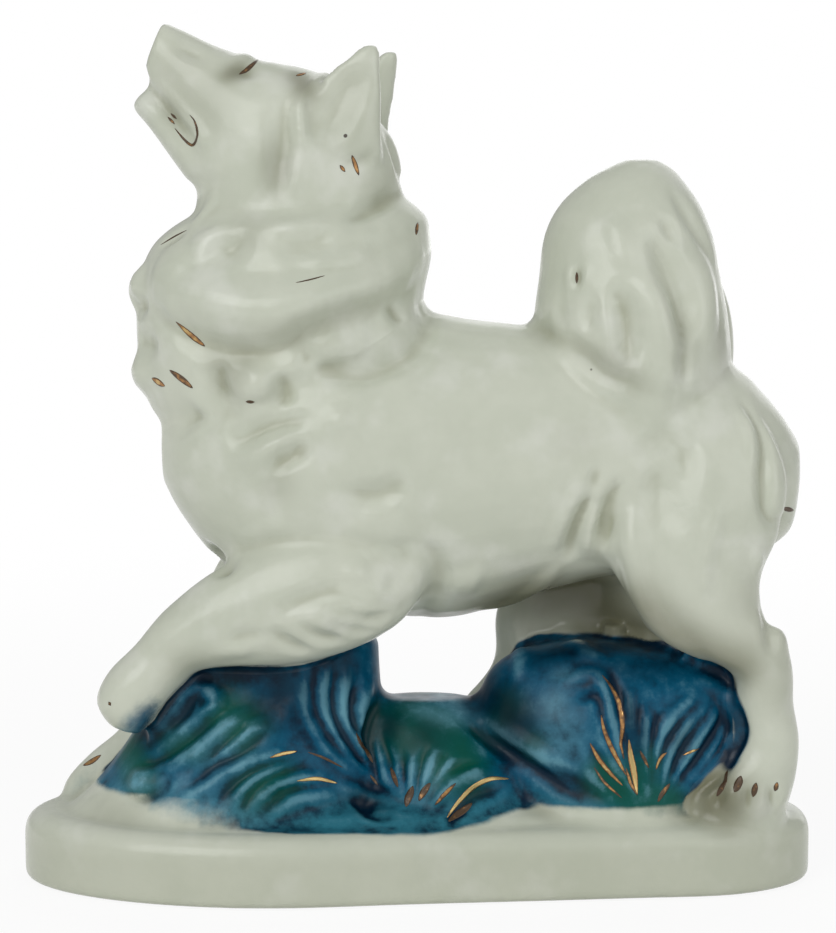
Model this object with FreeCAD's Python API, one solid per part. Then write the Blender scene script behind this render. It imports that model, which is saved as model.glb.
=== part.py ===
"""Glazed porcelain figurine of a barking spitz-type dog that stands on two-level rocks and an oval plinth.

The figurine is slip-cast as separate hollow and solid castings, which are luted together with slip while they
are leather-hard, then glazed and fired. Each casting is one solid here and meets its neighbours face to face.

Frame, in millimetres: +Z up, X along the plinth with the dog's nose towards -X, Y across it with the dog's left
side towards -Y. The origin is the centre of the plinth's foot, on the surface that the figurine stands on.

Every cast form is a smooth skin through closed rings. A ring's height is measured from the plinth's flat top, so that
all that stands on the plinth follows it.
"""

import FreeCAD
import Part

import math
import os
from typing import NamedTuple

from FreeCAD import Vector

# Overall sizes.
FIGURE_LENGTH = 157.2
DOG_HEIGHT = 155.2  # from the plinth's top to the nose
BODY_WIDTH = 45.0

# Plinth: an oval slab, deeper under the forelegs than under the tail, hollow below.
PLINTH_HEIGHT = 14.0
PLINTH_HEAD_DEPTH = 60.4
PLINTH_TAIL_DEPTH = 43.0
PLINTH_TOP_ROUND = 4.5
PLINTH_FOOT_ROUND = 1.5
PLINTH_ROOF = 4.5
FOOT_RING_WIDTH = 6.0
HEAD_END_ROUND = 50.6  # length of the half oval under the forelegs
TAIL_END_ROUND = 28.6  # length of the half oval under the hind legs

# Castings: wall left by the slip, and the holes that let air out of every hollow while it is fired.
CAST_WALL = 4.0
VENT_BORE = 4.0
PLINTH_VENT_BORE = 6.0

# Size at which the ring tables below are written.
TABLE_LENGTH = 157.2
TABLE_HEIGHT = 155.2
TABLE_WIDTH = 45.0
TABLE_DEPTH = 60.4

LENGTH_STRETCH = FIGURE_LENGTH / TABLE_LENGTH
HEIGHT_STRETCH = DOG_HEIGHT / TABLE_HEIGHT
WIDTH_STRETCH = BODY_WIDTH / TABLE_WIDTH
DEPTH_STRETCH = PLINTH_HEAD_DEPTH / TABLE_DEPTH

RING_POINTS = 14
SKIN_OVERLAP = 3  # lines of points that a skin repeats past its seam
SMALLEST_HOLLOW = 2.5  # half size of the smallest ring that a cavity keeps


class Ring(NamedTuple):
    """A closed oval: its centre, its half size in the side view and across, and where it leans.

    A lean of 0 stands the ring's long axis upright, and 90 lays it along the plinth, towards the tail.
    """

    x: float
    z: float
    half: float
    half_width: float
    lean: float = 90.0
    y: float = 0.0


TORSO = (
    Ring(-50.2, 72.8, 7.0, 6.0, 0),
    Ring(-46.2, 72.5, 14.0, 12.5, 0),
    Ring(-38.4, 71.0, 21.8, 17.5, 0),
    Ring(-24.0, 70.0, 30.5, 21.8, 0),
    Ring(-6.0, 69.2, 32.4, 22.5, 0),
    Ring(8.0, 67.7, 30.4, 22.2, 0),
    Ring(23.0, 68.6, 25.8, 21.0, 0),
    Ring(40.0, 69.5, 22.5, 20.0, 0),
    Ring(56.0, 69.5, 21.2, 19.0, 0),
    Ring(66.4, 68.0, 18.0, 15.5, 0),
    Ring(73.0, 65.0, 12.0, 10.0, 0),
    Ring(75.4, 63.5, 5.5, 5.0, 0),
)

HEAD = (
    Ring(-25.0, 90.0, 19.0, 14.5, 86),
    Ring(-24.0, 106.0, 20.0, 15.0, 88),
    Ring(-23.6, 120.0, 20.6, 14.8, 86),
    Ring(-26.4, 131.0, 20.6, 13.8, 76),
    Ring(-32.0, 137.8, 15.8, 12.0, 60),
    Ring(-38.0, 141.6, 11.4, 9.6, 48),
    Ring(-43.8, 144.8, 8.4, 7.0, 38),
    Ring(-48.4, 148.6, 6.0, 5.2, 28),
    Ring(-51.6, 151.2, 3.4, 3.6, 22),
)

LOWER_LIP = (
    Ring(-41.0, 126.5, 4.4, 6.8, 42),
    Ring(-44.4, 129.8, 3.4, 6.2, 42),
    Ring(-48.2, 133.2, 2.6, 5.6, 42),
    Ring(-51.6, 136.2, 2.2, 4.6, 42),
    Ring(-54.0, 138.0, 1.6, 3.2, 42),
    Ring(-55.1, 139.1, 0.6, 1.2, 42),
)

TONGUE = (
    Ring(-41.5, 130.5, 6.5, 3.6, 42),
    Ring(-44.5, 134.0, 6.5, 3.5, 42),
    Ring(-47.8, 137.8, 5.6, 3.4, 42),
    Ring(-50.0, 140.8, 3.8, 2.8, 42),
    Ring(-51.0, 142.0, 1.6, 1.4, 42),
)

MANE = (
    Ring(-25.0, 83.0, 24.0, 18.0, 68),
    Ring(-25.8, 90.0, 28.4, 21.5, 69),
    Ring(-26.2, 96.0, 30.4, 22.4, 71),
    Ring(-26.4, 103.0, 30.8, 22.6, 73),
    Ring(-27.3, 110.5, 29.8, 21.0, 75),
    Ring(-26.2, 117.0, 26.4, 17.6, 77),
    Ring(-24.2, 121.6, 22.4, 15.6, 79),
)

EAR = (
    Ring(-18.0, 129.0, 9.0, 3.4, 86),
    Ring(-16.4, 135.5, 8.2, 3.0, 86),
    Ring(-14.2, 142.0, 6.4, 2.5, 86),
    Ring(-12.3, 146.6, 4.2, 2.1, 84),
    Ring(-10.9, 149.4, 2.2, 1.4, 80),
    Ring(-10.4, 150.6, 0.9, 0.7, 80),
)
EAR_OUT = 9.6  # from the middle of the skull to the middle of an ear
RIGHT_EAR_BACK = 4.0  # the head turns a little, which sets the right ear back

TAIL = (
    Ring(45.0, 79.0, 12.5, 19.0),
    Ring(43.2, 87.0, 18.8, 20.2),
    Ring(42.2, 97.0, 19.8, 18.8),
    Ring(41.8, 106.0, 18.8, 17.0),
    Ring(41.4, 114.0, 17.2, 14.8),
    Ring(41.7, 120.0, 14.2, 12.0),
    Ring(42.4, 124.5, 10.4, 8.8),
    Ring(43.0, 127.6, 5.0, 4.4),
)

LEFT_FORELEG = (
    Ring(-3.0, 46.5, 9.0, 5.5, 2, -12.0),
    Ring(-8.5, 44.8, 12.2, 7.5, 0, -13.0),
    Ring(-20.0, 42.6, 13.0, 8.2, -6, -14.0),
    Ring(-34.5, 38.6, 9.8, 7.6, -17, -14.0),
    Ring(-44.6, 35.6, 7.2, 6.8, -28, -14.0),
    Ring(-50.0, 30.6, 5.8, 6.0, -50, -14.0),
    Ring(-54.6, 26.2, 6.0, 6.2, -62, -14.0),
    Ring(-57.0, 21.8, 5.2, 5.6, -66, -14.0),
    Ring(-57.2, 18.8, 2.8, 3.2, -70, -14.0),
)

RIGHT_FORELEG = (
    Ring(-24.0, 60.0, 8.6, 5.6, -32, 10.0),
    Ring(-38.0, 42.0, 7.4, 6.2, -42, 12.5),
    Ring(-47.0, 30.5, 5.8, 5.6, -45, 13.0),
    Ring(-55.5, 19.0, 5.4, 5.4, -48, 13.0),
    Ring(-62.0, 8.6, 6.2, 6.0, -58, 13.0),
    Ring(-65.5, 2.0, 6.4, 6.2, -75, 13.0),
    Ring(-66.0, -3.0, 6.4, 6.0, -88, 13.0),
)

LEFT_HIND_LEG = (
    Ring(56.0, 77.0, 14.0, 5.4, 90, -13.4),
    Ring(55.0, 67.0, 18.0, 8.0, 90, -13.6),
    Ring(51.8, 56.5, 18.8, 8.8, 90, -13.6),
    Ring(51.0, 48.0, 15.6, 8.4, 90, -13.2),
    Ring(56.0, 40.4, 13.8, 7.6, 90, -12.6),
    Ring(62.0, 33.2, 11.0, 6.9, 90, -12.0),
    Ring(67.0, 26.8, 6.8, 6.3, 90, -11.5),
    Ring(68.8, 19.0, 5.6, 5.9, 90, -11.0),
    Ring(68.2, 13.1, 6.6, 6.2, 90, -11.0),
    Ring(64.6, 7.2, 9.6, 6.8, 90, -11.0),
    Ring(63.0, 2.0, 9.8, 6.8, 90, -11.0),
    Ring(63.0, 0.0, 9.4, 6.4, 90, -11.0),
)

RIGHT_HIND_LEG = (
    Ring(49.0, 66.0, 18.0, 5.0, 90, 12.0),
    Ring(47.5, 58.0, 20.0, 7.4, 90, 12.5),
    Ring(43.4, 50.0, 21.4, 7.8, 90, 12.8),
    Ring(39.2, 42.6, 20.4, 7.4, 90, 13.0),
    Ring(35.0, 36.0, 18.4, 6.8, 90, 13.0),
    Ring(28.8, 29.5, 12.8, 6.2, 90, 13.0),
    Ring(24.4, 22.5, 8.8, 5.9, 90, 13.0),
    Ring(20.8, 14.0, 6.8, 5.8, 90, 13.0),
    Ring(17.6, 6.0, 8.0, 6.2, 90, 13.0),
    Ring(16.6, 0.0, 8.6, 6.2, 90, 13.0),
)

HEAD_HOLLOW = HEAD[:5]  # it ends at the brow, and the muzzle is solid

HAUNCH_WEB = (
    Ring(48.0, 50.0, 8.0, 7.0),
    Ring(49.0, 40.0, 9.0, 7.0),
    Ring(51.5, 33.0, 11.5, 7.0),
    Ring(54.0, 28.0, 9.5, 6.5),
    Ring(57.0, 23.0, 6.0, 5.0),
)

FRONT_ROCK = (
    Ring(-36.5, 0.0, 33.5, 22.0),
    Ring(-34.0, 6.0, 29.5, 20.5),
    Ring(-32.0, 14.0, 25.5, 17.5),
    Ring(-30.0, 22.0, 23.0, 15.5),
    Ring(-26.5, 30.0, 19.0, 14.0),
    Ring(-23.5, 34.0, 15.5, 12.5),
    Ring(-22.0, 38.0, 10.0, 10.0),
)

FRONT_ROCK_HOLLOW = FRONT_ROCK[:4]  # it stops below the forelegs

MIDDLE_ROCK = (
    Ring(8.0, 0.0, 22.0, 19.0),
    Ring(6.0, 8.0, 18.0, 16.5),
    Ring(2.5, 15.0, 13.0, 12.5),
    Ring(-0.5, 19.6, 8.5, 8.0),
    Ring(-2.0, 21.6, 4.0, 4.4),
)

REAR_ROCK = (
    Ring(40.5, 0.0, 25.5, 18.0),
    Ring(40.0, 7.0, 25.5, 17.5),
    Ring(38.5, 14.0, 26.0, 17.0),
    Ring(37.5, 20.0, 26.5, 15.5),
    Ring(39.5, 24.5, 22.8, 13.0),
    Ring(39.5, 28.0, 16.5, 10.0),
    Ring(39.0, 30.4, 8.5, 6.5),
)

# Vents, as places on the ring tables' grid.
FORELEG_VENT = (-17.0, -9.0)  # from the torso through the left foreleg into the front rock
NECK_VENT = (-26.0, 0.0)  # from the torso into the neck
TAIL_VENT = (43.0, 0.0)  # from the torso into the tail
ROCK_VENTS = ((-36.0, 0.0), (8.0, 0.0), (42.0, 0.0))  # from each rock down to the plinth's underside


def at(x, y, z, cross_stretch=WIDTH_STRETCH):
    """The real place of a point of the ring tables, whose height is measured from the plinth's top."""
    return Vector(x * LENGTH_STRETCH, y * cross_stretch, PLINTH_HEIGHT + z * HEIGHT_STRETCH)


def halfway(first, second):
    """The ring half way between two rings."""
    return Ring(*((a + b) / 2 for a, b in zip(first, second)))


def ring_points(ring, thinner, cross_stretch):
    """Points evenly round one ring, made smaller all round by thinner, from its left-hand side on."""
    lean = math.radians(ring.lean)
    half = ring.half - thinner
    half_width = ring.half_width - thinner
    points = []
    for step in range(RING_POINTS):
        turn = math.pi / 2 + 2 * math.pi * step / RING_POINTS
        along = half * math.cos(turn)
        x = ring.x + along * math.sin(lean)
        z = ring.z + along * math.cos(lean)
        y = ring.y + half_width * math.sin(turn)
        points.append(at(x, y, z, cross_stretch))
    return points


def skin(rings, thinner=0.0, cross_stretch=WIDTH_STRETCH):
    """The solid whose smooth side passes through a table of rings, with a flat end on the first and the last.

    The side is one surface through lines of points along the form. A few lines are repeated past the first and
    the last, so that the surface closes smoothly, and it is then cut into two halves that share their edges.
    A ring added half way along each end span keeps the ends from bulging.
    """
    rings = [rings[0], halfway(*rings[:2]), *rings[1:-1], halfway(*rings[-2:]), rings[-1]]
    rows = [ring_points(ring, thinner, cross_stretch) for ring in rings]
    lines = range(-SKIN_OVERLAP, RING_POINTS + SKIN_OVERLAP + 1)
    side = Part.BSplineSurface()
    side.interpolate([[row[line % RING_POINTS] for row in rows] for line in lines])
    knots = side.getUKnots()
    half_turn = RING_POINTS // 2
    halves = []
    for start in (SKIN_OVERLAP, SKIN_OVERLAP + half_turn):
        half = side.copy()
        half.segment(knots[start], knots[start + half_turn], 0, 1)
        halves.append(half)
    ends = [Part.Face(Part.Wire([half.vIso(v).toShape() for half in halves])) for v in (0, 1)]
    shell = Part.makeShell([half.toShape() for half in halves] + ends)
    shell.sewShape()
    solid = Part.Solid(shell)
    if solid.Volume < 0:
        solid.reverse()
    return solid


def cast(rings, cross_stretch=WIDTH_STRETCH):
    """The outer form of a casting."""
    return skin(rings, 0.0, cross_stretch)


def cavity(rings, cross_stretch=WIDTH_STRETCH):
    """The hollow that the slip leaves inside a form: its rings, less the cast wall."""
    kept = [r for r in rings if min(r.half, r.half_width) - CAST_WALL >= SMALLEST_HOLLOW]
    return skin(kept, CAST_WALL, cross_stretch)


def vent(place, low, high, bore=VENT_BORE):
    """An upright round hole between two heights of the ring tables."""
    bottom = at(place[0], place[1], low)
    top = at(place[0], place[1], high)
    return Part.makeCylinder(bore / 2, top.z - bottom.z, bottom, Vector(0, 0, 1))


def plinth_wire(margin, z):
    """The plinth's outline in plan at height z, moved inwards by margin.

    The sides run straight from a half oval at the head end to a smaller one at the tail end.
    """
    head_half = PLINTH_HEAD_DEPTH / 2 - margin
    tail_half = PLINTH_TAIL_DEPTH / 2 - margin
    head_x = -FIGURE_LENGTH / 2 + HEAD_END_ROUND
    tail_x = FIGURE_LENGTH / 2 - TAIL_END_ROUND
    head_long = HEAD_END_ROUND - margin
    tail_long = TAIL_END_ROUND - margin
    end_turns = [math.radians(t) for t in (0, 22.5, 45, 67.5)]
    side = [(tail_x + tail_long * math.cos(t), tail_half * math.sin(t)) for t in end_turns]
    side += [(tail_x, tail_half)]
    side += [(tail_x + (head_x - tail_x) * s, tail_half + (head_half - tail_half) * s) for s in (0.35, 0.7)]
    side += [(head_x - head_long * math.sin(t), head_half * math.cos(t)) for t in end_turns]
    side += [(head_x - head_long, 0.0)]
    other_side = [(x, -y) for x, y in reversed(side[1:-1])]
    curve = Part.BSplineCurve()
    curve.interpolate([Vector(x, y, z) for x, y in side + other_side], PeriodicFlag=True)
    return Part.Wire([curve.toShape()])


def slab(margin, low, high):
    """A slab of the plinth's outline between two heights."""
    return Part.Face(plinth_wire(margin, low)).extrude(Vector(0, 0, high - low))


def make_plinth():
    """The oval plinth, rounded at its top and foot, hollow below, with a vent under each rock."""
    body = slab(0.0, 0.0, PLINTH_HEIGHT)
    top = [e for e in body.Edges if e.BoundBox.ZMin > PLINTH_HEIGHT - 0.1]
    foot = [e for e in body.Edges if e.BoundBox.ZMax < 0.1]
    body = body.makeFillet(PLINTH_TOP_ROUND, top)
    foot = [e for e in body.Edges if e.BoundBox.ZMax < 0.1]
    body = body.makeFillet(PLINTH_FOOT_ROUND, foot)
    body = body.cut(slab(FOOT_RING_WIDTH, -1.0, PLINTH_HEIGHT - PLINTH_ROOF))
    for place in ROCK_VENTS:
        body = body.cut(vent(place, -PLINTH_HEIGHT, 1.0, PLINTH_VENT_BORE))
    return body


def above_plinth(shape):
    """What stands above the plinth's flat top."""
    reach = 2 * FIGURE_LENGTH
    below = Part.makeBox(reach, reach, reach, Vector(-reach / 2, -reach / 2, PLINTH_HEIGHT - reach))
    return shape.cut(below)


def make_castings():
    """Every casting by its node's name. A later casting is fitted to the earlier ones that it is luted to."""
    torso_form = cast(TORSO)
    head_form = cast(HEAD)
    torso = torso_form.cut(cavity(TORSO))
    head = head_form.cut(torso_form).cut(cavity(HEAD_HOLLOW).cut(torso_form))
    mane = cast(MANE).cut(torso_form).cut(head_form)
    tail = cast(TAIL).cut(torso_form).cut(cavity(TAIL).cut(torso_form))

    lower_jaw = cast(LOWER_LIP).fuse(cast(TONGUE)).cut(head_form).removeSplitter()
    left_ear = cast([r._replace(y=-EAR_OUT) for r in EAR]).cut(head_form)
    right_ear = cast([r._replace(x=r.x + RIGHT_EAR_BACK, y=EAR_OUT) for r in EAR]).cut(head_form)

    left_foreleg = cast(LEFT_FORELEG).cut(torso_form)
    right_foreleg = above_plinth(cast(RIGHT_FORELEG).cut(torso_form))
    left_hind_leg = cast(LEFT_HIND_LEG).cut(torso_form)
    right_hind_leg = cast(RIGHT_HIND_LEG).fuse(cast(HAUNCH_WEB)).cut(torso_form).cut(left_hind_leg)

    front_form = cast(FRONT_ROCK, DEPTH_STRETCH)
    rear_form = cast(REAR_ROCK, DEPTH_STRETCH)
    front_rock = front_form.cut(cavity(FRONT_ROCK_HOLLOW, DEPTH_STRETCH))
    front_rock = front_rock.cut(left_foreleg).cut(right_foreleg).cut(torso_form)
    middle_rock = cast(MIDDLE_ROCK, DEPTH_STRETCH).cut(cavity(MIDDLE_ROCK, DEPTH_STRETCH))
    middle_rock = middle_rock.cut(front_form).cut(rear_form).cut(right_hind_leg)
    rear_rock = rear_form.cut(cavity(REAR_ROCK, DEPTH_STRETCH))
    rear_rock = rear_rock.cut(left_hind_leg).cut(right_hind_leg)

    foreleg_vent = vent(FORELEG_VENT, 16.0, 60.0)
    return {
        "plinth": make_plinth(),
        "front_rock": front_rock.cut(foreleg_vent),
        "middle_rock": middle_rock,
        "rear_rock": rear_rock,
        "torso": torso.cut(foreleg_vent).cut(vent(NECK_VENT, 90.0, 112.0)).cut(vent(TAIL_VENT, 80.0, 100.0)),
        "mane": mane,
        "head": head,
        "lower_jaw": lower_jaw,
        "left_ear": left_ear,
        "right_ear": right_ear,
        "left_foreleg": left_foreleg.cut(foreleg_vent),
        "right_foreleg": right_foreleg,
        "left_hind_leg": left_hind_leg,
        "right_hind_leg": right_hind_leg,
        "tail": tail,
    }


def main():
    """Builds every casting and writes one STEP file for each."""
    os.makedirs("parts", exist_ok=True)
    for name, shape in make_castings().items():
        solids = shape.Solids
        box = shape.BoundBox
        print(f"{name:15s} valid={shape.isValid()} solids={[round(s.Volume, 1) for s in solids]} "
              f"x {box.XMin:.1f}..{box.XMax:.1f} y {box.YMin:.1f}..{box.YMax:.1f} z {box.ZMin:.1f}..{box.ZMax:.1f}")
        shape.exportStep(f"parts/{name}.step")


if __name__ == "__main__":
    main()
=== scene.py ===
"""Looks of a glazed porcelain dog that barks from two-level rocks on an oval plinth.

The dog, its rocks and the plinth are modelled as one lump of clay, as the maker of the mould did. Masses are
pressed together, their seams are filled, and locks of fur and leaves are tooled in. The lump is painted, then
parted into the castings that the frame names, and gold strokes are laid on it.

Sizes are in millimetres, in the frame's axes, and heights are measured from the plinth's flat top.
"""

import logging
import math
from dataclasses import dataclass, field
from enum import Enum
from typing import NamedTuple, Sequence

import bmesh
import bpy
import numpy as np
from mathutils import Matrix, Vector, kdtree
from mathutils.bvhtree import BVHTree


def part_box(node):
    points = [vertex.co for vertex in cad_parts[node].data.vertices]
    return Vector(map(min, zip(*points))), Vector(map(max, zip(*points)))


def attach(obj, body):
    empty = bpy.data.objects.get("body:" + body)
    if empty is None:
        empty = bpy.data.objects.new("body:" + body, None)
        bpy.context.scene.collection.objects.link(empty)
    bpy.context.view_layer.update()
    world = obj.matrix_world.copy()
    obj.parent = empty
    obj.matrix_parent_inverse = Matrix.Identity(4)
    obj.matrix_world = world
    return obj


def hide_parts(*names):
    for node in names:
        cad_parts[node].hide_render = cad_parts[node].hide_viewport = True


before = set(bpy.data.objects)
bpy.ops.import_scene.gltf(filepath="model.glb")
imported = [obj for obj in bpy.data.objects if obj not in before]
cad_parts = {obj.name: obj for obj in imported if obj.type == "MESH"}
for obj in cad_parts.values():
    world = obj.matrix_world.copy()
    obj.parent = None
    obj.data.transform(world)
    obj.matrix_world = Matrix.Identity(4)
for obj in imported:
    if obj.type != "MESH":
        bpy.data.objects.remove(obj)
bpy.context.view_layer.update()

MM = 0.001
PLINTH_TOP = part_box("plinth")[1].z / MM
GRAIN = 0.6  # size of the clay's voxels
RING_SIDES = 32
RING_STEPS = 6  # rings added in each span of a mass
KNIFE_GRAIN = 1.0  # size of the voxels of a knife
SMALLEST_CRUMB = 12  # faces of the smallest crumb that is kept
CRUMB_TOUCH = 0.02  # how near a point of a crumb is to a casting that it touches
CRUMB_SLIP = 0.05  # slip spread on a crumb before it is luted on
WELD_REACH = 0.005  # points of a casting nearer than this become one
THINNEST = 0.2  # least half width of a ring
END_SHARE = 0.4  # share of a mark's length in which its end dies away
NARROW_MARK = 3  # marks narrower than this are laid with the finer spacing
FINE_SPACING = 0.4
COARSE_SPACING = 0.6
FIELDS = ("hollow", "wash", "green", "pale", "night", "stain")
LOG = logging.getLogger("figurine")


class Ring(NamedTuple):
    """A closed oval of clay: its centre, its half size along and across, its lean and its place across."""

    x: float
    z: float
    half: float
    half_width: float
    lean: float = 90.0
    y: float = 0.0


class Side(Enum):
    """The side that a mark is tooled from, as the direction in which the tool points."""

    LEFT = (0.0, 1.0, 0.0)
    RIGHT = (0.0, -1.0, 0.0)
    FRONT = (1.0, 0.0, 0.0)
    BACK = (-1.0, 0.0, 0.0)
    TOP = (0.0, 0.0, -1.0)


class Taper(Enum):
    """Which ends of a mark die away."""

    NONE = (0.0, 0.0)
    START = (1.0, 0.0)
    END = (0.0, 1.0)
    BOTH = (1.0, 1.0)


class Mark(NamedTuple):
    """A line tooled into the clay, raised where its height is positive and sunk where it is negative.

    Its points are (along, height) as seen from its side, heights from the plinth's top.
    """

    points: tuple[tuple[float, float], ...]
    width: float
    height: float
    taper: Taper = Taper.BOTH
    side: Side = Side.LEFT


Rings = tuple[Ring, ...]
Marks = tuple[Mark, ...]


# ---------------------------------------------------------------- bench


def deselect() -> None:
    """Leave object mode with nothing selected."""
    if bpy.context.object and bpy.context.object.mode != "OBJECT":
        bpy.ops.object.mode_set(mode="OBJECT")
    bpy.ops.object.select_all(action="DESELECT")


def pick(piece: bpy.types.Object) -> None:
    """Select one piece and make it the active one.

    Args:
        piece: The piece.
    """
    deselect()
    piece.select_set(True)
    bpy.context.view_layer.objects.active = piece


def finish_with(piece: bpy.types.Object, kind: str, **settings: object) -> None:
    """Add a modifier to a piece and apply it.

    Args:
        piece: The mesh to change.
        kind: The modifier's type.
        settings: The modifier's values.
    """
    pick(piece)
    modifier = piece.modifiers.new(kind.lower(), kind)
    for key, value in settings.items():
        setattr(modifier, key, value)
    bpy.ops.object.modifier_apply(modifier=modifier.name)


def join(pieces: Sequence[bpy.types.Object], name: str) -> bpy.types.Object:
    """Join meshes into one object.

    Args:
        pieces: The meshes to join.
        name: The name of the joined mesh.

    Returns:
        The joined mesh.
    """
    deselect()
    for piece in pieces:
        piece.select_set(True)
    bpy.context.view_layer.objects.active = pieces[0]
    if len(pieces) > 1:
        bpy.ops.object.join()
    pieces[0].name = name
    pieces[0].data.name = name
    return pieces[0]


def copy_of(piece: bpy.types.Object, name: str) -> bpy.types.Object:
    """Copy a piece with a mesh of its own.

    Args:
        piece: The piece to copy.
        name: The copy's name.

    Returns:
        The copy.
    """
    twin = piece.copy()
    twin.data = piece.data.copy()
    twin.name = name
    bpy.context.scene.collection.objects.link(twin)
    return twin


def discard(piece: bpy.types.Object) -> None:
    """Throw a scratch piece away with its mesh.

    Args:
        piece: The piece to throw away.
    """
    mesh = piece.data
    bpy.data.objects.remove(piece)
    bpy.data.meshes.remove(mesh)


def places(piece: bpy.types.Object) -> np.ndarray:
    """The places of a mesh's vertices, in millimetres, with heights from the plinth's top.

    Args:
        piece: The mesh.

    Returns:
        One row of x, y and z for each vertex.
    """
    flat = np.empty(len(piece.data.vertices) * 3, np.float32)
    piece.data.vertices.foreach_get("co", flat)
    return flat.reshape(-1, 3).astype(float) / MM - (0, 0, PLINTH_TOP)


def move_to(piece: bpy.types.Object, spots: np.ndarray) -> None:
    """Set the places of a mesh's vertices, the reverse of places().

    Args:
        piece: The mesh.
        spots: One row of x, y and z for each vertex.
    """
    flat = (spots + (0, 0, PLINTH_TOP)) * MM
    piece.data.vertices.foreach_set("co", flat.astype(np.float32).ravel())
    piece.data.update()


def normals(piece: bpy.types.Object) -> np.ndarray:
    """The directions in which a mesh's vertices face.

    Args:
        piece: The mesh.

    Returns:
        One unit vector for each vertex.
    """
    flat = np.empty(len(piece.data.vertices) * 3, np.float32)
    piece.data.vertex_normals.foreach_get("vector", flat)
    return flat.reshape(-1, 3).astype(float)


# ---------------------------------------------------------------- clay


def blend_rings(rings: Sequence[Ring]) -> list[Ring]:
    """Rings spread smoothly through a table of rings.

    Args:
        rings: The table, with at least two rings.

    Returns:
        The rings of the table with RING_STEPS - 1 more in each span.
    """
    table = np.array([rings[0], *rings, rings[-1]], float)
    spread = []
    for span in range(1, len(table) - 2):
        before, start, end, after = table[span - 1 : span + 3]
        for step in range(RING_STEPS):
            t = step / RING_STEPS
            value = 2 * start + (end - before) * t
            value = value + (2 * before - 5 * start + 4 * end - after) * t * t
            value = value + (3 * start - before - 3 * end + after) * t**3
            spread.append(Ring(*(value / 2)))
    spread.append(rings[-1])
    return spread


def ring_outline(ring: Ring, grow: float) -> list[Vector]:
    """The points round one ring, in metres.

    Args:
        ring: The ring.
        grow: Clay added all round it.

    Returns:
        RING_SIDES points.
    """
    lean = math.radians(ring.lean)
    outline = []
    for step in range(RING_SIDES):
        turn = 2 * math.pi * step / RING_SIDES
        along = (max(ring.half, THINNEST) + grow) * math.cos(turn)
        across = (max(ring.half_width, THINNEST) + grow) * math.sin(turn)
        height = ring.z + along * math.cos(lean) + PLINTH_TOP
        outline.append(Vector((ring.x + along * math.sin(lean), ring.y + across, height)) * MM)
    return outline


def press_mass(name: str, rings: Sequence[Ring], grow: float = 0.0) -> bpy.types.Object:
    """Press one closed mass of clay whose sides run through a table of rings.

    Args:
        name: The mass's name.
        rings: Its table of rings.
        grow: Clay added all round it.

    Returns:
        The mass.
    """
    spread = blend_rings(rings)
    outlines = [ring_outline(ring, grow) for ring in spread]
    if grow:
        first = (sum(outlines[0], Vector()) - sum(outlines[1], Vector())).normalized() * grow * MM
        last = (sum(outlines[-1], Vector()) - sum(outlines[-2], Vector())).normalized() * grow * MM
        outlines.insert(0, [spot + first for spot in outlines[0]])
        outlines.append([spot + last for spot in outlines[-1]])
    deselect()
    bpy.ops.mesh.primitive_circle_add(vertices=RING_SIDES, radius=MM, fill_type="NGON")
    mass = bpy.context.object
    mass.name = name
    bpy.ops.object.mode_set(mode="EDIT")
    bpy.ops.mesh.select_all(action="SELECT")
    clay = bmesh.from_edit_mesh(mass.data)
    order = sorted(clay.verts, key=lambda v: math.atan2(v.co.y, v.co.x) % (2 * math.pi))
    for corner, spot in zip(order, outlines[0]):
        corner.co = spot
    for before, outline in zip(outlines, outlines[1:]):
        bpy.ops.mesh.extrude_region_move()
        clay = bmesh.from_edit_mesh(mass.data)
        moved = [v for v in clay.verts if v.select]
        turn_of = {tuple(round(c, 7) for c in spot): step for step, spot in enumerate(before)}
        for corner in moved:
            corner.co = outline[turn_of[tuple(round(c, 7) for c in corner.co)]]
        bmesh.update_edit_mesh(mass.data)
    bpy.ops.mesh.select_all(action="SELECT")
    bpy.ops.mesh.normals_make_consistent(inside=False)
    bpy.ops.object.mode_set(mode="OBJECT")
    return mass


def swell(piece: bpy.types.Object, thickness: float) -> None:
    """Move the skin of a piece outwards, or inwards where the thickness is negative."""
    finish_with(piece, "DISPLACE", direction="NORMAL", strength=thickness * MM, mid_level=0.0)


def knead(piece: bpy.types.Object, grain: float = GRAIN) -> None:
    """Turn overlapping masses into one skin of even grain."""
    finish_with(piece, "REMESH", mode="VOXEL", voxel_size=grain * MM, use_smooth_shade=True)


def rub(piece: bpy.types.Object, passes: int, strength: float = 0.5) -> None:
    """Smooth the skin of a piece."""
    finish_with(piece, "SMOOTH", factor=strength, iterations=passes)


def lay_points(skin: BVHTree, mark: Mark, spacing: float) -> np.ndarray:
    """Lay a mark's line on the skin from its side.

    Args:
        skin: The skin, in table millimetres.
        mark: The mark.
        spacing: The distance between the points of the laid line.

    Returns:
        Rows of x, y, z and how far along the line each point is, from 0 to 1.
    """
    line = smooth_line(mark.points, spacing)
    tool = Vector(mark.side.value)
    laid = []
    for step, (along, height) in enumerate(line):
        if mark.side in (Side.LEFT, Side.RIGHT):
            start = Vector((along, -120 * tool.y, height))
        elif mark.side is Side.TOP:
            start = Vector((along, height, 220))
        else:
            start = Vector((-160 * tool.x, along, height))
        hit = skin.ray_cast(start, tool)[0]
        if hit is None and mark.width >= 2.5:
            hit = skin.find_nearest(start + tool * 120)[0]
        if hit is not None:
            laid.append((*hit, step / max(len(line) - 1, 1)))
    return np.array(laid, float).reshape(-1, 4)


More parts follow.
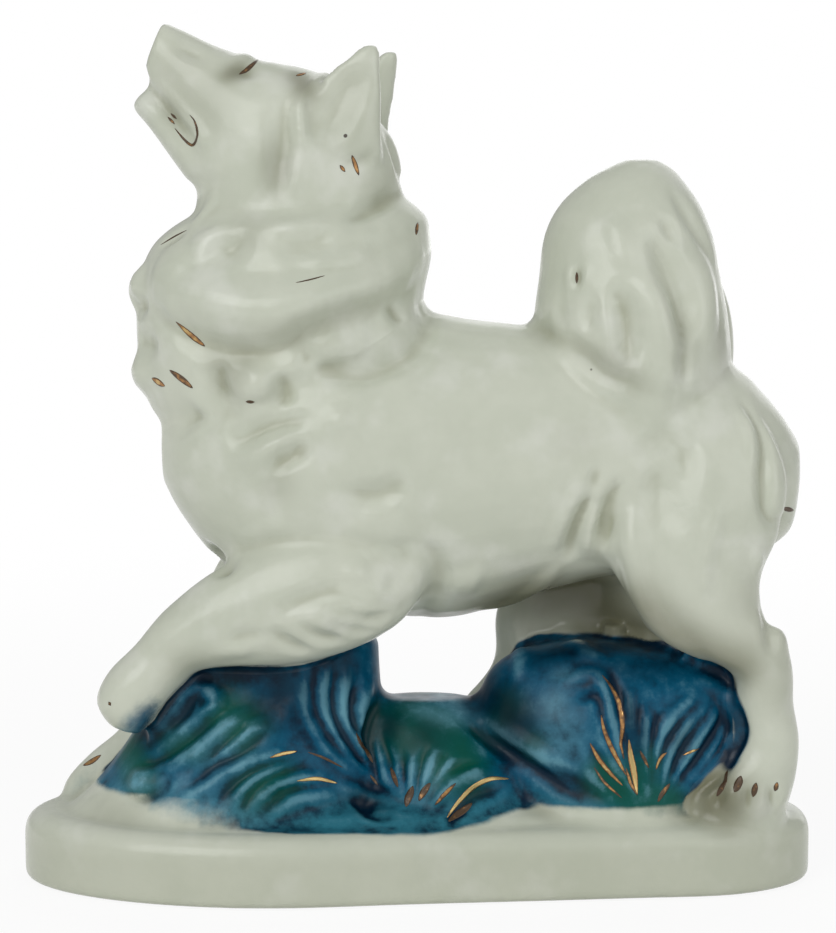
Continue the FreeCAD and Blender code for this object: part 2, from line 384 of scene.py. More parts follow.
def smooth_line(points: Sequence[tuple[float, float]], spacing: float) -> np.ndarray:
    """Points spread evenly along a smooth line through a few points.

    Args:
        points: The points that the line passes through.
        spacing: The distance between the points of the result.

    Returns:
        Rows of the two coordinates.
    """
    knots = np.array(points, float)
    if len(knots) == 1:
        return knots
    ends = np.vstack([2 * knots[0] - knots[1], knots, 2 * knots[-1] - knots[-2]])
    dense = []
    for span in range(1, len(ends) - 2):
        before, start, end, after = ends[span - 1 : span + 3]
        t = np.linspace(0, 1, 16, endpoint=False)[:, None]
        value = 2 * start + (end - before) * t
        value = value + (2 * before - 5 * start + 4 * end - after) * t**2
        value = value + (3 * start - before - 3 * end + after) * t**3
        dense.append(value / 2)
    dense = np.vstack([*dense, knots[-1:]])
    run = np.concatenate([[0], np.cumsum(np.linalg.norm(np.diff(dense, axis=0), axis=1))])
    even = np.linspace(0, run[-1], max(int(run[-1] / spacing), 2) + 1)
    return np.stack([np.interp(even, run, dense[:, k]) for k in range(2)], axis=1)


def skin_of(piece: bpy.types.Object) -> BVHTree:
    """A piece's skin, for laying lines on it, in table millimetres.

    Args:
        piece: The piece.

    Returns:
        Its faces, ready for rays and nearest points.
    """
    corners = places(piece)
    faces = [tuple(face.vertices) for face in piece.data.polygons]
    return BVHTree.FromPolygons([Vector(c) for c in corners], faces)


def fade(value: np.ndarray, low: float, high: float) -> np.ndarray:
    """A smooth step from 0 at low to 1 at high."""
    t = np.clip((value - low) / (high - low), 0, 1)
    return t * t * (3 - 2 * t)


def relief_of(spots: np.ndarray, facing: np.ndarray, skin: BVHTree, marks: Sequence[Mark]) -> np.ndarray:
    """How far the marks raise or sink each point of the skin.

    Args:
        spots: The skin's points.
        facing: The directions in which they face. Not used.
        skin: The same skin, for laying the marks on it.
        marks: The marks.

    Returns:
        One height for each point.
    """
    raised = np.zeros(len(spots))
    sunk = np.zeros(len(spots))
    for mark in marks:
        line = lay_points(skin, mark, FINE_SPACING if mark.width < NARROW_MARK else COARSE_SPACING)
        if not len(line):
            LOG.warning("mark from %s misses the clay", mark.points[0])
            continue
        reach = mark.width
        low = line[:, :3].min(0) - reach
        high = line[:, :3].max(0) + reach
        near = np.flatnonzero(((spots > low) & (spots < high)).all(1))
        if not len(near):
            continue
        nearest = np.full(len(near), np.inf)
        share = np.zeros(len(near))
        for x, y, z, along in line:
            strength = end_strength(along, mark.taper) if len(mark.points) > 1 else 1.0
            if strength <= 0:
                continue
            distance = np.linalg.norm(spots[near] - (x, y, z), axis=1) / (0.45 + 0.55 * strength)
            closer = distance < nearest
            nearest[closer] = distance[closer]
            share[closer] = strength
        profile = np.clip(1 - (nearest / reach) ** 2, 0, 1) ** 2 * share * abs(mark.height)
        if mark.height > 0:
            raised[near] = np.maximum(raised[near], profile)
        else:
            sunk[near] = np.maximum(sunk[near], profile)
    return raised - sunk


def end_strength(along: float, taper: Taper) -> float:
    """How strong a mark is at a share of its length, from 0 to 1.

    Args:
        along: The share of its length.
        taper: Which of its ends die away.

    Returns:
        The strength.
    """
    start, end = taper.value
    strength = 1.0
    if start:
        strength *= math.sin(min(along / END_SHARE, 1) * math.pi / 2) ** 0.8
    if end:
        strength *= math.sin(min((1 - along) / END_SHARE, 1) * math.pi / 2) ** 0.8
    return strength


def mirrored(marks: Sequence[Mark], along: float = 0.0, up: float = 0.0) -> tuple[Mark, ...]:
    """The same marks worked into the right side, a little unevenly, as a hand repeats them.

    Args:
        marks: Marks on the left side.
        along: How far to move them along.
        up: How far to move them up.

    Returns:
        The marks of the right side.
    """
    copies = []
    for number, mark in enumerate(marks):
        x = along + 1.2 * math.sin(2.1 * number)
        z = up + 0.9 * math.cos(1.7 * number)
        copies.append(mark._replace(points=tuple((a + x, b + z) for a, b in mark.points), side=Side.RIGHT))
    return tuple(copies)


def inside_edge(spots: np.ndarray, edge: Sequence[tuple[float, float]]) -> np.ndarray:
    """How far inside a closed outline each point lies in plan, negative outside it.

    Args:
        spots: The points.
        edge: The outline's corners.

    Returns:
        One distance for each point.
    """
    nearest = np.full(len(spots), np.inf)
    inside = np.zeros(len(spots), bool)
    for start, end in zip(edge, (*edge[1:], edge[0])):
        a, run = np.array(start), np.array(end) - start
        share = np.clip((spots[:, :2] - a) @ run / (run @ run), 0, 1)
        gap = np.linalg.norm(spots[:, :2] - a - share[:, None] * run, axis=1)
        nearest = np.minimum(nearest, gap)
        crosses = (spots[:, 1] < a[1]) != (spots[:, 1] < end[1])
        rise = run[1] if run[1] else 1e-9
        inside ^= crosses & (spots[:, 0] < a[0] + (spots[:, 1] - a[1]) * run[0] / rise)
    return np.where(inside, nearest, -nearest)


def above_skin(spots: np.ndarray, skin: BVHTree) -> np.ndarray:
    """How far above a skin each point lies, negative below it.

    Args:
        spots: The points.
        skin: The skin.

    Returns:
        One height for each point.
    """
    heights = np.empty(len(spots))
    for number, spot in enumerate(spots):
        point = Vector(spot)
        foot, facing, _, gap = skin.find_nearest(point)
        below = gap < 4 and (point - foot).dot(facing) < 0
        heights[number] = -gap if below else gap
    return heights


def add_field(piece: bpy.types.Object, name: str, values: np.ndarray) -> None:
    """Store one number for each point of a piece, for its finish to read."""
    layer = piece.data.attributes.new(name, "FLOAT", "POINT")
    layer.data.foreach_set("value", values.astype(np.float32))


def soften(piece: bpy.types.Object, values: np.ndarray, passes: int) -> np.ndarray:
    """Spread numbers stored at a piece's points into their neighbours.

    Args:
        piece: The piece.
        values: One number for each point.
        passes: How many times to average each point with its neighbours.

    Returns:
        The softened numbers.
    """
    ends = np.empty(len(piece.data.edges) * 2, np.int32)
    piece.data.edges.foreach_get("vertices", ends)
    first, second = ends.reshape(-1, 2).T
    count = len(values)
    share = 1 / (np.bincount(first, minlength=count) + np.bincount(second, minlength=count) + 1)
    for _ in range(passes):
        around = np.bincount(first, values[second], count) + np.bincount(second, values[first], count)
        values = (values + around) * share
    return values


def read_field(piece: bpy.types.Object, name: str) -> np.ndarray:
    """The numbers that add_field() stored.

    Args:
        piece: The piece.
        name: The name of the numbers.

    Returns:
        One number for each point.
    """
    values = np.empty(len(piece.data.vertices), np.float32)
    piece.data.attributes[name].data.foreach_get("value", values)
    return values


# ---------------------------------------------------------------- underglaze


@dataclass(frozen=True)
class Underglaze:
    """The colours brushed on before the glaze, with painted shade and painted highlights among them, as dabs
    on the left side that the right side repeats.

    Attributes:
        edge: The outline, in plan, that the blue runs out to on the plinth.
        green: Where the blue turns green.
        pale: Where it is washed out, and where highlights and the lamps' reflections are painted on the
            rocks.
        night: Where it is deepest blue, and where shade is painted under the dog and in the creases between
            the rocks.
        stain: Where the white glaze is dirty or pooled, and where shade is painted: under the belly, the
            legs, the mane's roll and the tail, in the creases and the mouth, and lightly on the muzzle and
            the near ear.
        shade: Painted shade on the left side only: the far hind leg's inner thigh, the web between the hind
            legs and the haunch's lower edge.
        bare: Where the blue was wiped off.
        tint: Blue that has run onto the white.
        reach: How high the blue goes, from the plinth's top.
        reach_behind: How high it goes behind the forelegs.
        toe: How far back from the front the blue fades out more slowly.
    """

    reach: float = 37.0
    reach_behind: float = 35.0
    toe: float = -34.0
    edge: tuple[tuple[float, float], ...] = (
        (-62.4, 5.5), (-60.0, -8.0), (-52.0, -17.5), (-42.0, -21.8), (-32.0, -23.7), (-24.0, -25.5),
              (-13.0, -25.0),
        (0.6, -24.5), (6.4, -23.0), (14.0, -19.7), (20.0, -15.6), (25.0, -14.4), (32.0, -16.8),
              (45.0, -17.5),
        (52.0, -15.8), (57.0, -14.8), (62.0, -13.0), (66.0, 4.0), (62.0, 14.0), (50.0, 18.5), (30.0, 17.0),
        (20.0, 17.0), (8.0, 21.0), (-10.0, 23.0), (-30.0, 24.0), (-48.0, 18.0), (-60.0, 8.0),
    )
    green: Marks = (
        Mark(((-2.3, 18.1), (3.6, 16.5), (7.5, 12.1)), 13.0, 1.0, Taper.NONE),
        Mark(((19.3, 16.0), (25.1, 13.8)), 6.0, 0.8),
        Mark(((36.5, 9.0), (44.5, 4.9), (48.5, 3.8)), 8.0, 1.0, Taper.NONE),
        Mark(((43.0, 14.0), (46.5, 9.0)), 7.0, 0.8),
        Mark(((-41.0, 24.0), (-33.6, 19.0), (-30.0, 16.0)), 10.0, 0.9),
        Mark(((-57.5, 13.0), (-54.4, 8.0)), 7.0, 0.9, Taper.NONE),
        Mark(((-38.3, 5.6), (-28.6, 8.4), (-20.8, 10.9)), 9.0, 0.7),
        Mark(((14.5, 22.2), (20.3, 18.7)), 9.0, 0.8),
        Mark(((-52.6, 12.5), (-46.5, 15.0), (-38.0, 15.0)), 7.0, 0.7),
    )
    # Some of these are painted highlights: the lamps' reflections on the rear rock's left lobe and a
    # highlight on the middle rock's top.
    pale: Marks = (
        # Pale glaze on the rear rock's left lobe, with the lamps' reflections painted on it.
        Mark(((28.0, 23.0), (28.2, 17.0), (30.5, 10.0)), 8.0, 0.75),
        Mark(((-51.0, 5.5), (-45.0, 4.0), (-36.0, 2.0), (-28.0, 1.0)), 6.0, 0.6),
        # This and the next two are painted reflections of the lamps on the rear rock's left lobe.
        Mark(((27.2, 23.7), (26.6, 21.8)), 3.4, 1.0, Taper.NONE),
        Mark(((26.0, 27.2), (28.4, 28.6), (32.4, 27.6)), 1.8, 1.0),
        Mark(((26.6, 16.4), (25.4, 13.6)), 2.2, 0.8),
        # Painted highlight on the middle rock's top.
        Mark(((5.0, 22.0), (8.8, 20.6), (10.8, 18.6)), 4.0, 1.0),
        Mark(((-49.5, 8.5), (-44.0, 6.5), (-38.0, 6.0)), 7.0, 0.5),
        # Painted highlight on the middle rock's top.
        Mark(((-2.4, 21.2), (3.6, 20.2), (10.5, 18.0)), 3.2, 1.0),
        Mark(((12.5, 18.1), (20.3, 14.7), (25.7, 10.7)), 3.0, 0.6),
        Mark(((-49.6, 16.6), (-43.5, 22.7)), 7.0, 0.5),
        Mark(((-32.6, 20.4), (-36.5, 14.7), (-44.3, 9.8)), 9.0, 0.5),
        Mark(((-60.3, 9.6), (-56.4, 6.0), (-46.2, 5.3)), 8.0, 0.6),
        Mark(((-15.1, 25.6), (-13.2, 15.6)), 7.0, 0.5),
        Mark(((0.6, 12.1), (4.5, 6.8)), 6.0, 0.5),
        Mark(((53.6, 19.8), (49.5, 12.5)), 8.0, 0.4),
    )
    # Mostly painted shade: on the rocks under the near foreleg, the belly, the far hind leg and the haunch,
    # and in the creases between the rocks and at the plinth; a few deepen the leaves' grooves.
    night: Marks = (
        # Painted shade on the front rock under the near foreleg.
        Mark(((-30.3, 26.2), (-22.9, 24.2)), 10.0, 1.0),
        Mark(((-43.2, 28.8), (-32.4, 30.4)), 6.0, 0.8),
        Mark(((-20.7, 30.9), (-10.2, 29.2)), 5.0, 0.7),
        Mark(((-4.9, 21.2), (-6.3, 14.2)), 6.0, 0.9),
        # Painted shade under the belly, between the middle and rear rocks.
        Mark(((12.9, 24.0), (16.4, 22.0), (19.5, 19.0)), 9.5, 1.0, Taper.NONE),
        Mark(((-1.0, 17.0), (4.0, 16.4)), 7.0, 0.6),
        # Painted shade on the rear rock's top under the far hind leg and the haunch.
        Mark(((24.0, 31.0), (33.0, 33.0), (43.0, 33.0)), 6.0, 0.8, Taper.NONE),
        Mark(((38.3, 27.4), (42.1, 21.2), (43.5, 12.7)), 3.6, 1.0),
        Mark(((-48.4, 23.9), (-52.4, 19.4), (-56.6, 13.8)), 5.0, 0.9),
        Mark(((-14.1, 4.9), (-4.9, 2.1)), 4.5, 0.8),
        Mark(((53.6, 18.8), (49.9, 13.4)), 4.0, 0.7),
        # Painted shade on the rear rock's top under the haunch.
        Mark(((28.5, 29.7), (40.1, 30.0), (54.0, 28.7)), 5.0, 0.6),
        Mark(((62.8, 24.2), (62.6, 15.5)), 4.0, 0.7),
        Mark(((25.1, 10.6), (35.8, 4.9)), 4.0, 0.6),
    )
    # Stains, with painted shade among them: in the crease between the near hind paw and the rock, under the
    # near foreleg, the belly, the mane's roll, the tail and the haunch, in the mouth and at the near ear's
    # front base, and a light painted shade on the muzzle and the near ear.
    stain: Marks = (
        Mark(((22.2, 2.9), (27.2, 1.7)), 4.0, 0.5),
        # Painted shade and brown stain in the crease between the near hind paw and the rock.
        Mark(((53.0, 6.5), (57.6, 7.0), (60.5, 4.4), (66.0, 3.0)), 9.5, 1.0, Taper.END),
        Mark(((56.5, 9.5), (58.5, 5.0), (57.0, 3.0)), 6.5, 1.0, Taper.NONE),
        Mark(((19.8, 31.9), (20.9, 26.7)), 5.0, 0.5),
        Mark(((-36.4, 145.2), (-33.8, 146.6)), 3.0, 1.0, Taper.NONE),
        # Brown stain and painted shade at the near ear's front base.
        Mark(((-23.0, 145.0), (-21.4, 142.8), (-20.8, 140.4)), 4.0, 0.8, Taper.END),
        Mark(((-26.4, 134.0), (-27.2, 128.0), (-27.0, 122.0)), 5.0, 0.5),
        Mark(((-34.5, 115.2), (-30.0, 116.4)), 6.0, 0.25),
        Mark(((-41.0, 93.5), (-36.6, 90.5), (-29.0, 92.0)), 4.4, 0.45),
        # Painted shade under the mane's roll.
        Mark(((-37.5, 89.0), (-34.8, 84.5)), 4.6, 0.4),
        Mark(((-28.6, 66.4), (-24.6, 69.0)), 4.4, 0.3),
        Mark(((-33.0, 98.0), (-20.0, 97.0), (-8.0, 103.0)), 6.0, 0.16),
        # Painted shade under the tail.
        Mark(((29.0, 95.0), (36.0, 90.5), (46.0, 85.0)), 4.6, 0.42),
        Mark(((51.0, 100.0), (50.6, 88.0)), 4.4, 0.3),
        Mark(((58.0, 100.0), (60.5, 88.0)), 4.4, 0.35),
        Mark(((-10.0, 121.5), (-2.0, 126.0)), 5.0, 0.2),
        Mark(((25.6, 75.9), (35.2, 75.9)), 6.5, 0.1),
        Mark(((-65.9, 1.9), (-52.0, 0.5)), 6.0, 0.25),
        # Painted shade under the near foreleg and under the belly.
        Mark(((-49.7, 34.1), (-42.0, 31.4), (-28.4, 31.5)), 7.0, 0.35),
        Mark(((-9.1, 35.7), (-1.3, 38.6), (9.0, 39.0), (20.0, 41.5)), 7.5, 0.6),
        # Light painted shade on the muzzle and the near ear.
        Mark(((-46.0, 146.0), (-40.5, 140.5)), 10.0, 0.22, Taper.NONE),
        Mark(((-12.0, 144.0), (-13.6, 134.0)), 8.0, 0.16, Taper.NONE),
        Mark(((64.5, 44.0), (68.5, 36.0), (70.5, 26.0)), 8.0, 0.2, Taper.NONE),
        Mark(((-40.8, 51.6), (-36.3, 49.6)), 3.4, 0.35),
        Mark(((-44.2, 123.2), (-44.4, 118.3)), 5.0, 0.15),
        # Painted shade inside the mouth.
        Mark(((-49.6, 141.7), (-47.6, 138.7), (-45.0, 134.9)), 3.2, 0.6),
        Mark(((23.2, 96.8), (27.7, 94.5)), 5.0, 0.3),
        # Painted shade under the haunch, along the top of the rear rock.
        Mark(((34.1, 30.9), (55.9, 31.3), (63.0, 27.0)), 6.0, 0.5),
        Mark(((50.6, 96.0), (50.8, 90.0)), 5.0, 0.2),
    )
    # Painted shade on the far hind leg's inner thigh, the web between the hind legs and the haunch's lower
    # edge.
    shade: Marks = (
        Mark(((17.5, 42.0), (26.0, 44.0), (34.0, 43.0), (40.0, 37.5)), 15.0, 1.0, Taper.NONE),
        Mark(((33.0, 46.0), (38.0, 41.0), (44.0, 36.0), (52.0, 32.0)), 10.0, 0.95, Taper.END),
        Mark(((42.0, 44.0), (48.0, 38.5), (55.0, 34.5), (62.0, 31.5)), 9.0, 0.75, Taper.NONE),
    )
    bare: Marks = (
        Mark(((45.0, 37.6), (52.0, 35.2), (58.5, 32.2), (63.2, 28.8), (66.6, 23.0)), 5.0, 1.0, Taper.NONE),
        Mark(((54.6, 3.6), (58.6, 7.2), (61.8, 9.2)), 3.2, 1.0, Taper.NONE),
    )
    tint: Marks = (
        Mark(((-59.0, 12.9), (-51.9, 22.5), (-49.0, 25.8)), 6.5, 0.7),
        Mark(((-72.6, -0.0), (-63.2, 5.8)), 6.0, 0.35),
        Mark(((-39.1, 31.4), (-22.7, 30.5)), 5.0, 0.5),
        Mark(((61.2, 24.6), (63.4, 20.6), (64.0, 15.6), (62.2, 11.6)), 4.2, 1.0, Taper.NONE),
    )

    def store(self, clay: bpy.types.Object, plain: np.ndarray, dog: BVHTree) -> None:
        """Store on the lump where each colour lies, painted shade and highlights among them, and where the
        glaze pools.

        Args:
            clay: The tooled lump.
            plain: The places that its points had before they were tooled.
            dog: The skin of the masses that stay white.
        """
        spots = places(clay)
        facing = normals(clay)
        skin = skin_of(clay)
        add_field(clay, "hollow", self.hollow(clay, spots, facing))
        wash = self.wash(spots, plain, dog) * (1 - fade(relief_of(spots, facing, skin, self.bare), 0.0, 0.5))
        add_field(clay, "wash", np.maximum(wash, relief_of(spots, facing, skin, self.tint)))
        # The pale dabs hold painted highlights among them; the deepest-blue dabs, the stains and the shade
        # dabs hold painted shade.
        for name, dabs, more in (
            ("green", self.green, ()), ("pale", self.pale, ()),
            ("night", self.night, ()), ("stain", self.stain, self.shade),
        ):
            both = (*dabs, *mirrored(dabs, 2.0, 1.0), *more)
            add_field(clay, name, soften(clay, relief_of(spots, facing, skin, both), 12))

    def hollow(self, clay: bpy.types.Object, spots: np.ndarray, facing: np.ndarray) -> np.ndarray:
        """How deep in a hollow each point lies, from -1 on a ridge to 1.

        Args:
            clay: The tooled lump.
            spots: Its points.
            facing: The directions in which they face.

        Returns:
            One depth for each point.
        """
        worn = copy_of(clay, "worn_clay")
        rub(worn, 24)
        depth = ((places(worn) - spots) * facing).sum(1)
        discard(worn)
        return np.clip(depth / 0.36, -1, 1)

    def wash(self, spots: np.ndarray, plain: np.ndarray, dog: BVHTree) -> np.ndarray:
        """How much blue lies on each point: all over the rocks, off the dog, and out to the edge below.

        Args:
            spots: The lump's points.
            plain: Their places before they were tooled.
            dog: The skin of the masses that stay white.

        Returns:
            One share for each point, from 0 to 1.
        """
        clear = np.zeros(len(spots))
        low = np.flatnonzero(spots[:, 2] < self.reach)
        clear[low] = fade(above_skin(plain[low], dog), 0.0, 0.8)
        toe = spots[:, 0] < self.toe
        inside = inside_edge(spots, self.edge) / np.where(toe, 1.8, 1.0)
        clear *= np.maximum(fade(inside, -1.6, 2.2), fade(spots[:, 2] - np.where(toe, 2, 0), 2.0, 4.8))
        reach = np.where(spots[:, 0] > 4, self.reach_behind, self.reach)
        return clear * fade(reach - spots[:, 2], 0, 2)


class PaintMap:
    """The lump's colours, kept so that each casting can take its share after it is parted."""

    def __init__(self, whole: bpy.types.Object) -> None:
        """Remember every point of the painted lump.

        Args:
            whole: The painted lump.
        """
        spots = places(whole)
        self.tree = kdtree.KDTree(len(spots))
        for number, spot in enumerate(spots):
            self.tree.insert(spot, number)
        self.tree.balance()
        self.fields = {name: read_field(whole, name) for name in FIELDS}

    def share(self, piece: bpy.types.Object) -> None:
        """Give each point of a casting the numbers of the nearest point of the lump.

        Args:
            piece: The casting.
        """
        nearest = np.array([self.tree.find(spot)[1] for spot in places(piece)])
        for name, values in self.fields.items():
            layer = piece.data.attributes.get(name)
            if layer:
                piece.data.attributes.remove(layer)
            add_field(piece, name, values[nearest])


# ---------------------------------------------------------------- finishes


class Nodes:
    """A material's nodes, added and joined by short calls."""

    def __init__(self, name: str) -> None:
        """Start a material that holds only its output and its shader.

        Args:
            name: The material's name.
        """
        self.material = bpy.data.materials.new(name)
        self.material.use_nodes = True
        self.tree = self.material.node_tree
        self.shader = self.tree.nodes["Principled BSDF"]

    def add(self, kind: str, **settings: object) -> bpy.types.Node:
        """Add a node and set its properties.

        Args:
            kind: The node's type, without its prefix.
            settings: The node's own values.

        Returns:
            The node.
        """
        node = self.tree.nodes.new(f"ShaderNode{kind}")
        for key, value in settings.items():
            setattr(node, key, value)
        return node

    def plug(self, source: object, socket: bpy.types.NodeSocket) -> None:
        """Join a socket, or set a plain value, to an input.

        Args:
            source: A number, a colour or the output of another node.
            socket: The input that takes it.
        """
        if isinstance(source, bpy.types.NodeSocket):
            self.tree.links.new(source, socket)
        else:
            socket.default_value = source

    def field(self, name: str) -> bpy.types.NodeSocket:
        """Read a number that the mesh stores at its points."""
        return self.add("Attribute", attribute_name=name).outputs["Fac"]

    def place(self) -> bpy.types.NodeSocket:
        """The place on the object."""
        return self.add("TexCoord").outputs["Object"]

    def noise(self, scale: float, detail: float = 3.0, roughness: float = 0.5) -> bpy.types.NodeSocket:
        """Cloudy noise of a scale in 1/m.

        Args:
            scale: How many lumps of noise there are in a metre.
            detail: How many finer layers it has.
            roughness: How strong the finer layers are.

        Returns:
            The noise, from 0 to 1.
        """
        node = self.add("TexNoise")
        self.plug(self.place(), node.inputs["Vector"])
        node.inputs["Scale"].default_value = scale
        node.inputs["Detail"].default_value = detail
        node.inputs["Roughness"].default_value = roughness
        return node.outputs["Fac"]

    def sum(self, kind: str, first: object, second: object, clamp: bool = False) -> bpy.types.NodeSocket:
        """One step of arithmetic on two numbers.

        Args:
            kind: The operation.
            first: The first number.
            second: The second number.
            clamp: Whether the result is kept between 0 and 1.

        Returns:
            The result.
        """
        node = self.add("Math", operation=kind, use_clamp=clamp)
        self.plug(first, node.inputs[0])
        self.plug(second, node.inputs[1])
        return node.outputs[0]

    def ramp(self, value: object, low: float, high: float, start: float = 0.0,
             end: float = 1.0) -> bpy.types.NodeSocket:
        """Spread a number smoothly from one range to another.

        Args:
            value: The number.
            low: The value that gives the start.
            high: The value that gives the end.
            start: The result at low.
            end: The result at high.

        Returns:
            The result.
        """
        node = self.add("MapRange", interpolation_type="SMOOTHSTEP")
        for socket, source in zip(node.inputs, (value, low, high, start, end)):
            self.plug(source, socket)
        return node.outputs[0]

    def mix(self, share: object, first: object, second: object) -> bpy.types.NodeSocket:
        """Blend two colours.

        Args:
            share: How much of the second colour there is.
            first: The first colour.
            second: The second colour.

        Returns:
            The mixed colour.
        """
        node = self.add("Mix", data_type="RGBA")
        self.plug(share, node.inputs["Factor"])
        self.plug(first, node.inputs["A"])
        self.plug(second, node.inputs["B"])
        return next(socket for socket in node.outputs if socket.type == "RGBA")


def colour(red: int, green: int, blue: int) -> tuple[float, float, float, float]:
    """A colour as seen, from 0 to 255, as the linear one that a shader takes."""
    return (*((value / 255) ** 2.2 for value in (red, green, blue)), 1.0)


@dataclass(frozen=True)
class Glaze:
    """The glossy glaze over the grey-white body and the washed underglaze."""

    name: str
    body: tuple[int, int, int] = (199, 203, 188)
    thick: tuple[int, int, int] = (189, 194, 178)
    thin: tuple[int, int, int] = (208, 211, 200)
    # Pooled glaze in the hollows, deepened there as painted shade, and the tone towards the plinth's foot.
    pooled: tuple[int, int, int] = (148, 150, 126)
    # Stains, and the painted shade under the belly, the legs, the tail and the haunch.
    stain: tuple[int, int, int] = (92, 90, 62)
    speck: tuple[int, int, int] = (60, 52, 40)
    navy: tuple[int, int, int] = (0, 34, 52)
    blue: tuple[int, int, int] = (6, 80, 108)
    shallow: tuple[int, int, int] = (50, 112, 128)
    # Worn blue on the ridges, also the colour of the painted highlights on the rocks.
    foam: tuple[int, int, int] = (98, 148, 164)
    green: tuple[int, int, int] = (0, 78, 62)
    # Deepest blue, mostly standing for painted shade under the dog and between the rocks.
    dark: tuple[int, int, int] = (2, 26, 38)
    shine: float = 0.3
    roughness: float = 0.22

    def mix(self) -> bpy.types.Material:
        """Mix the glaze.

        Returns:
            Its material.
        """
        nodes = Nodes(self.name)
        white = self.white(nodes)
        wash = self.wash(nodes)
        edge = nodes.sum("MULTIPLY", nodes.sum("SUBTRACT", nodes.noise(200, 4, 0.6), 0.5), 0.5)
        cover = nodes.ramp(nodes.sum("ADD", nodes.field("wash"), edge), 0.15, 0.75)
        cover = nodes.sum("MULTIPLY", cover, nodes.ramp(nodes.field("wash"), 0.0, 0.12))
        nodes.plug(nodes.mix(cover, white, wash), nodes.shader.inputs["Base Color"])
        self.gloss(nodes)
        return nodes.material

    def white(self, nodes: Nodes) -> bpy.types.NodeSocket:
        """The body's colour, yellower where the glaze pools in the hollows, deepened there as painted shade,
        darker towards the plinth's foot, with stains and painted shade under the dog, and a few iron specks.

        Args:
            nodes: The material's nodes.

        Returns:
            The colour.
        """
        cloud = nodes.ramp(nodes.noise(45, 4, 0.6), 0.3, 0.7)
        tone = nodes.mix(cloud, colour(*self.body), colour(*self.thick))
        tone = nodes.mix(nodes.ramp(nodes.noise(95, 3, 0.5), 0.5, 0.75, 0.0, 0.7), tone, colour(*self.thin))
        height = nodes.add("SeparateXYZ")
        nodes.plug(nodes.place(), height.inputs[0])
        # Darker and yellower towards the plinth's foot.
        foot = nodes.ramp(height.outputs["Z"], PLINTH_TOP * MM, (PLINTH_TOP - 6) * MM, 0.0, 0.25)
        tone = nodes.mix(foot, tone, colour(*self.pooled))
        # Pooled glaze in the hollows, deepened as painted shade.
        pool = nodes.ramp(nodes.field("hollow"), 0.0, 1.0, 0.0, 0.6)
        tone = nodes.mix(pool, tone, colour(*self.pooled))
        # Stains, and painted shade under the dog, in one dark olive colour.
        tone = nodes.mix(nodes.sum("MULTIPLY", nodes.field("stain"), 0.85, True), tone, colour(*self.stain))
        cells = nodes.add("TexVoronoi")
        nodes.plug(nodes.place(), cells.inputs["Vector"])
        cells.inputs["Scale"].default_value = 85.0
        near = nodes.ramp(cells.outputs["Distance"], 0.026, 0.042, 1.0, 0.0)
        chosen = nodes.ramp(cells.outputs["Color"], 0.56, 0.58)
        return nodes.mix(nodes.sum("MULTIPLY", near, chosen), tone, colour(*self.speck))

    def wash(self, nodes: Nodes) -> bpy.types.NodeSocket:
        """The underglaze blue, dark in the hollows, worn pale on the ridges, with patches of green, painted
        highlights on the rocks, and painted shade where it is darkest, under the dog and between the rocks.

        Args:
            nodes: The material's nodes.

        Returns:
            The colour.
        """
        cloud = nodes.sum("MULTIPLY", nodes.sum("SUBTRACT", nodes.noise(120, 5, 0.65), 0.5), 1.9)
        streak = nodes.sum("MULTIPLY", nodes.sum("SUBTRACT", nodes.noise(420, 3, 0.6), 0.5), 0.9)
        depth = nodes.sum("ADD", nodes.field("hollow"), nodes.sum("ADD", cloud, streak))
        height = nodes.add("SeparateXYZ")
        nodes.plug(nodes.place(), height.inputs[0])
        low = nodes.ramp(height.outputs["Z"], (PLINTH_TOP + 1) * MM, (PLINTH_TOP + 9) * MM, 0.9, 0.0)
        tone = nodes.mix(low, colour(*self.blue), colour(*self.shallow))
        tone = nodes.mix(nodes.ramp(depth, -0.25, 0.65), tone, colour(*self.navy))
        tone = nodes.mix(nodes.ramp(nodes.field("green"), 0.05, 0.9, 0.0, 0.85), tone, colour(*self.green))
        # Ridges worn pale, and the pale dabs, some of them painted highlights and lamp reflections on the
        # rocks.
        light = nodes.sum("ADD", nodes.ramp(depth, -0.1, -0.9, 0.0, 0.75), nodes.field("pale"))
        light = nodes.sum("MULTIPLY", light, nodes.ramp(depth, 0.7, -0.6, 0.15, 0.8), True)
        tone = nodes.mix(light, tone, colour(*self.foam))
        # Deepest-blue dabs, mostly painted shade under the dog and in the creases between the rocks.
        return nodes.mix(nodes.sum("MULTIPLY", nodes.field("night"), 0.85), tone, colour(*self.dark))

    def gloss(self, nodes: Nodes) -> None:
        """Give the glaze its shine and its faint orange peel.

        Args:
            nodes: The material's nodes.
        """
        satin = nodes.ramp(nodes.field("wash"), 0.3, 0.8, self.roughness, self.roughness + 0.1)
        grain = nodes.ramp(nodes.noise(300, 2), 0.3, 0.7, -0.03, 0.05)
        nodes.plug(nodes.sum("ADD", satin, grain), nodes.shader.inputs["Roughness"])
        nodes.shader.inputs["Specular IOR Level"].default_value = self.shine
        bump = nodes.add("Bump")
        bump.inputs["Strength"].default_value = 0.12
        bump.inputs["Distance"].default_value = 0.0004
        nodes.plug(nodes.noise(600, 2), bump.inputs["Height"])
        nodes.plug(bump.outputs["Normal"], nodes.shader.inputs["Normal"])


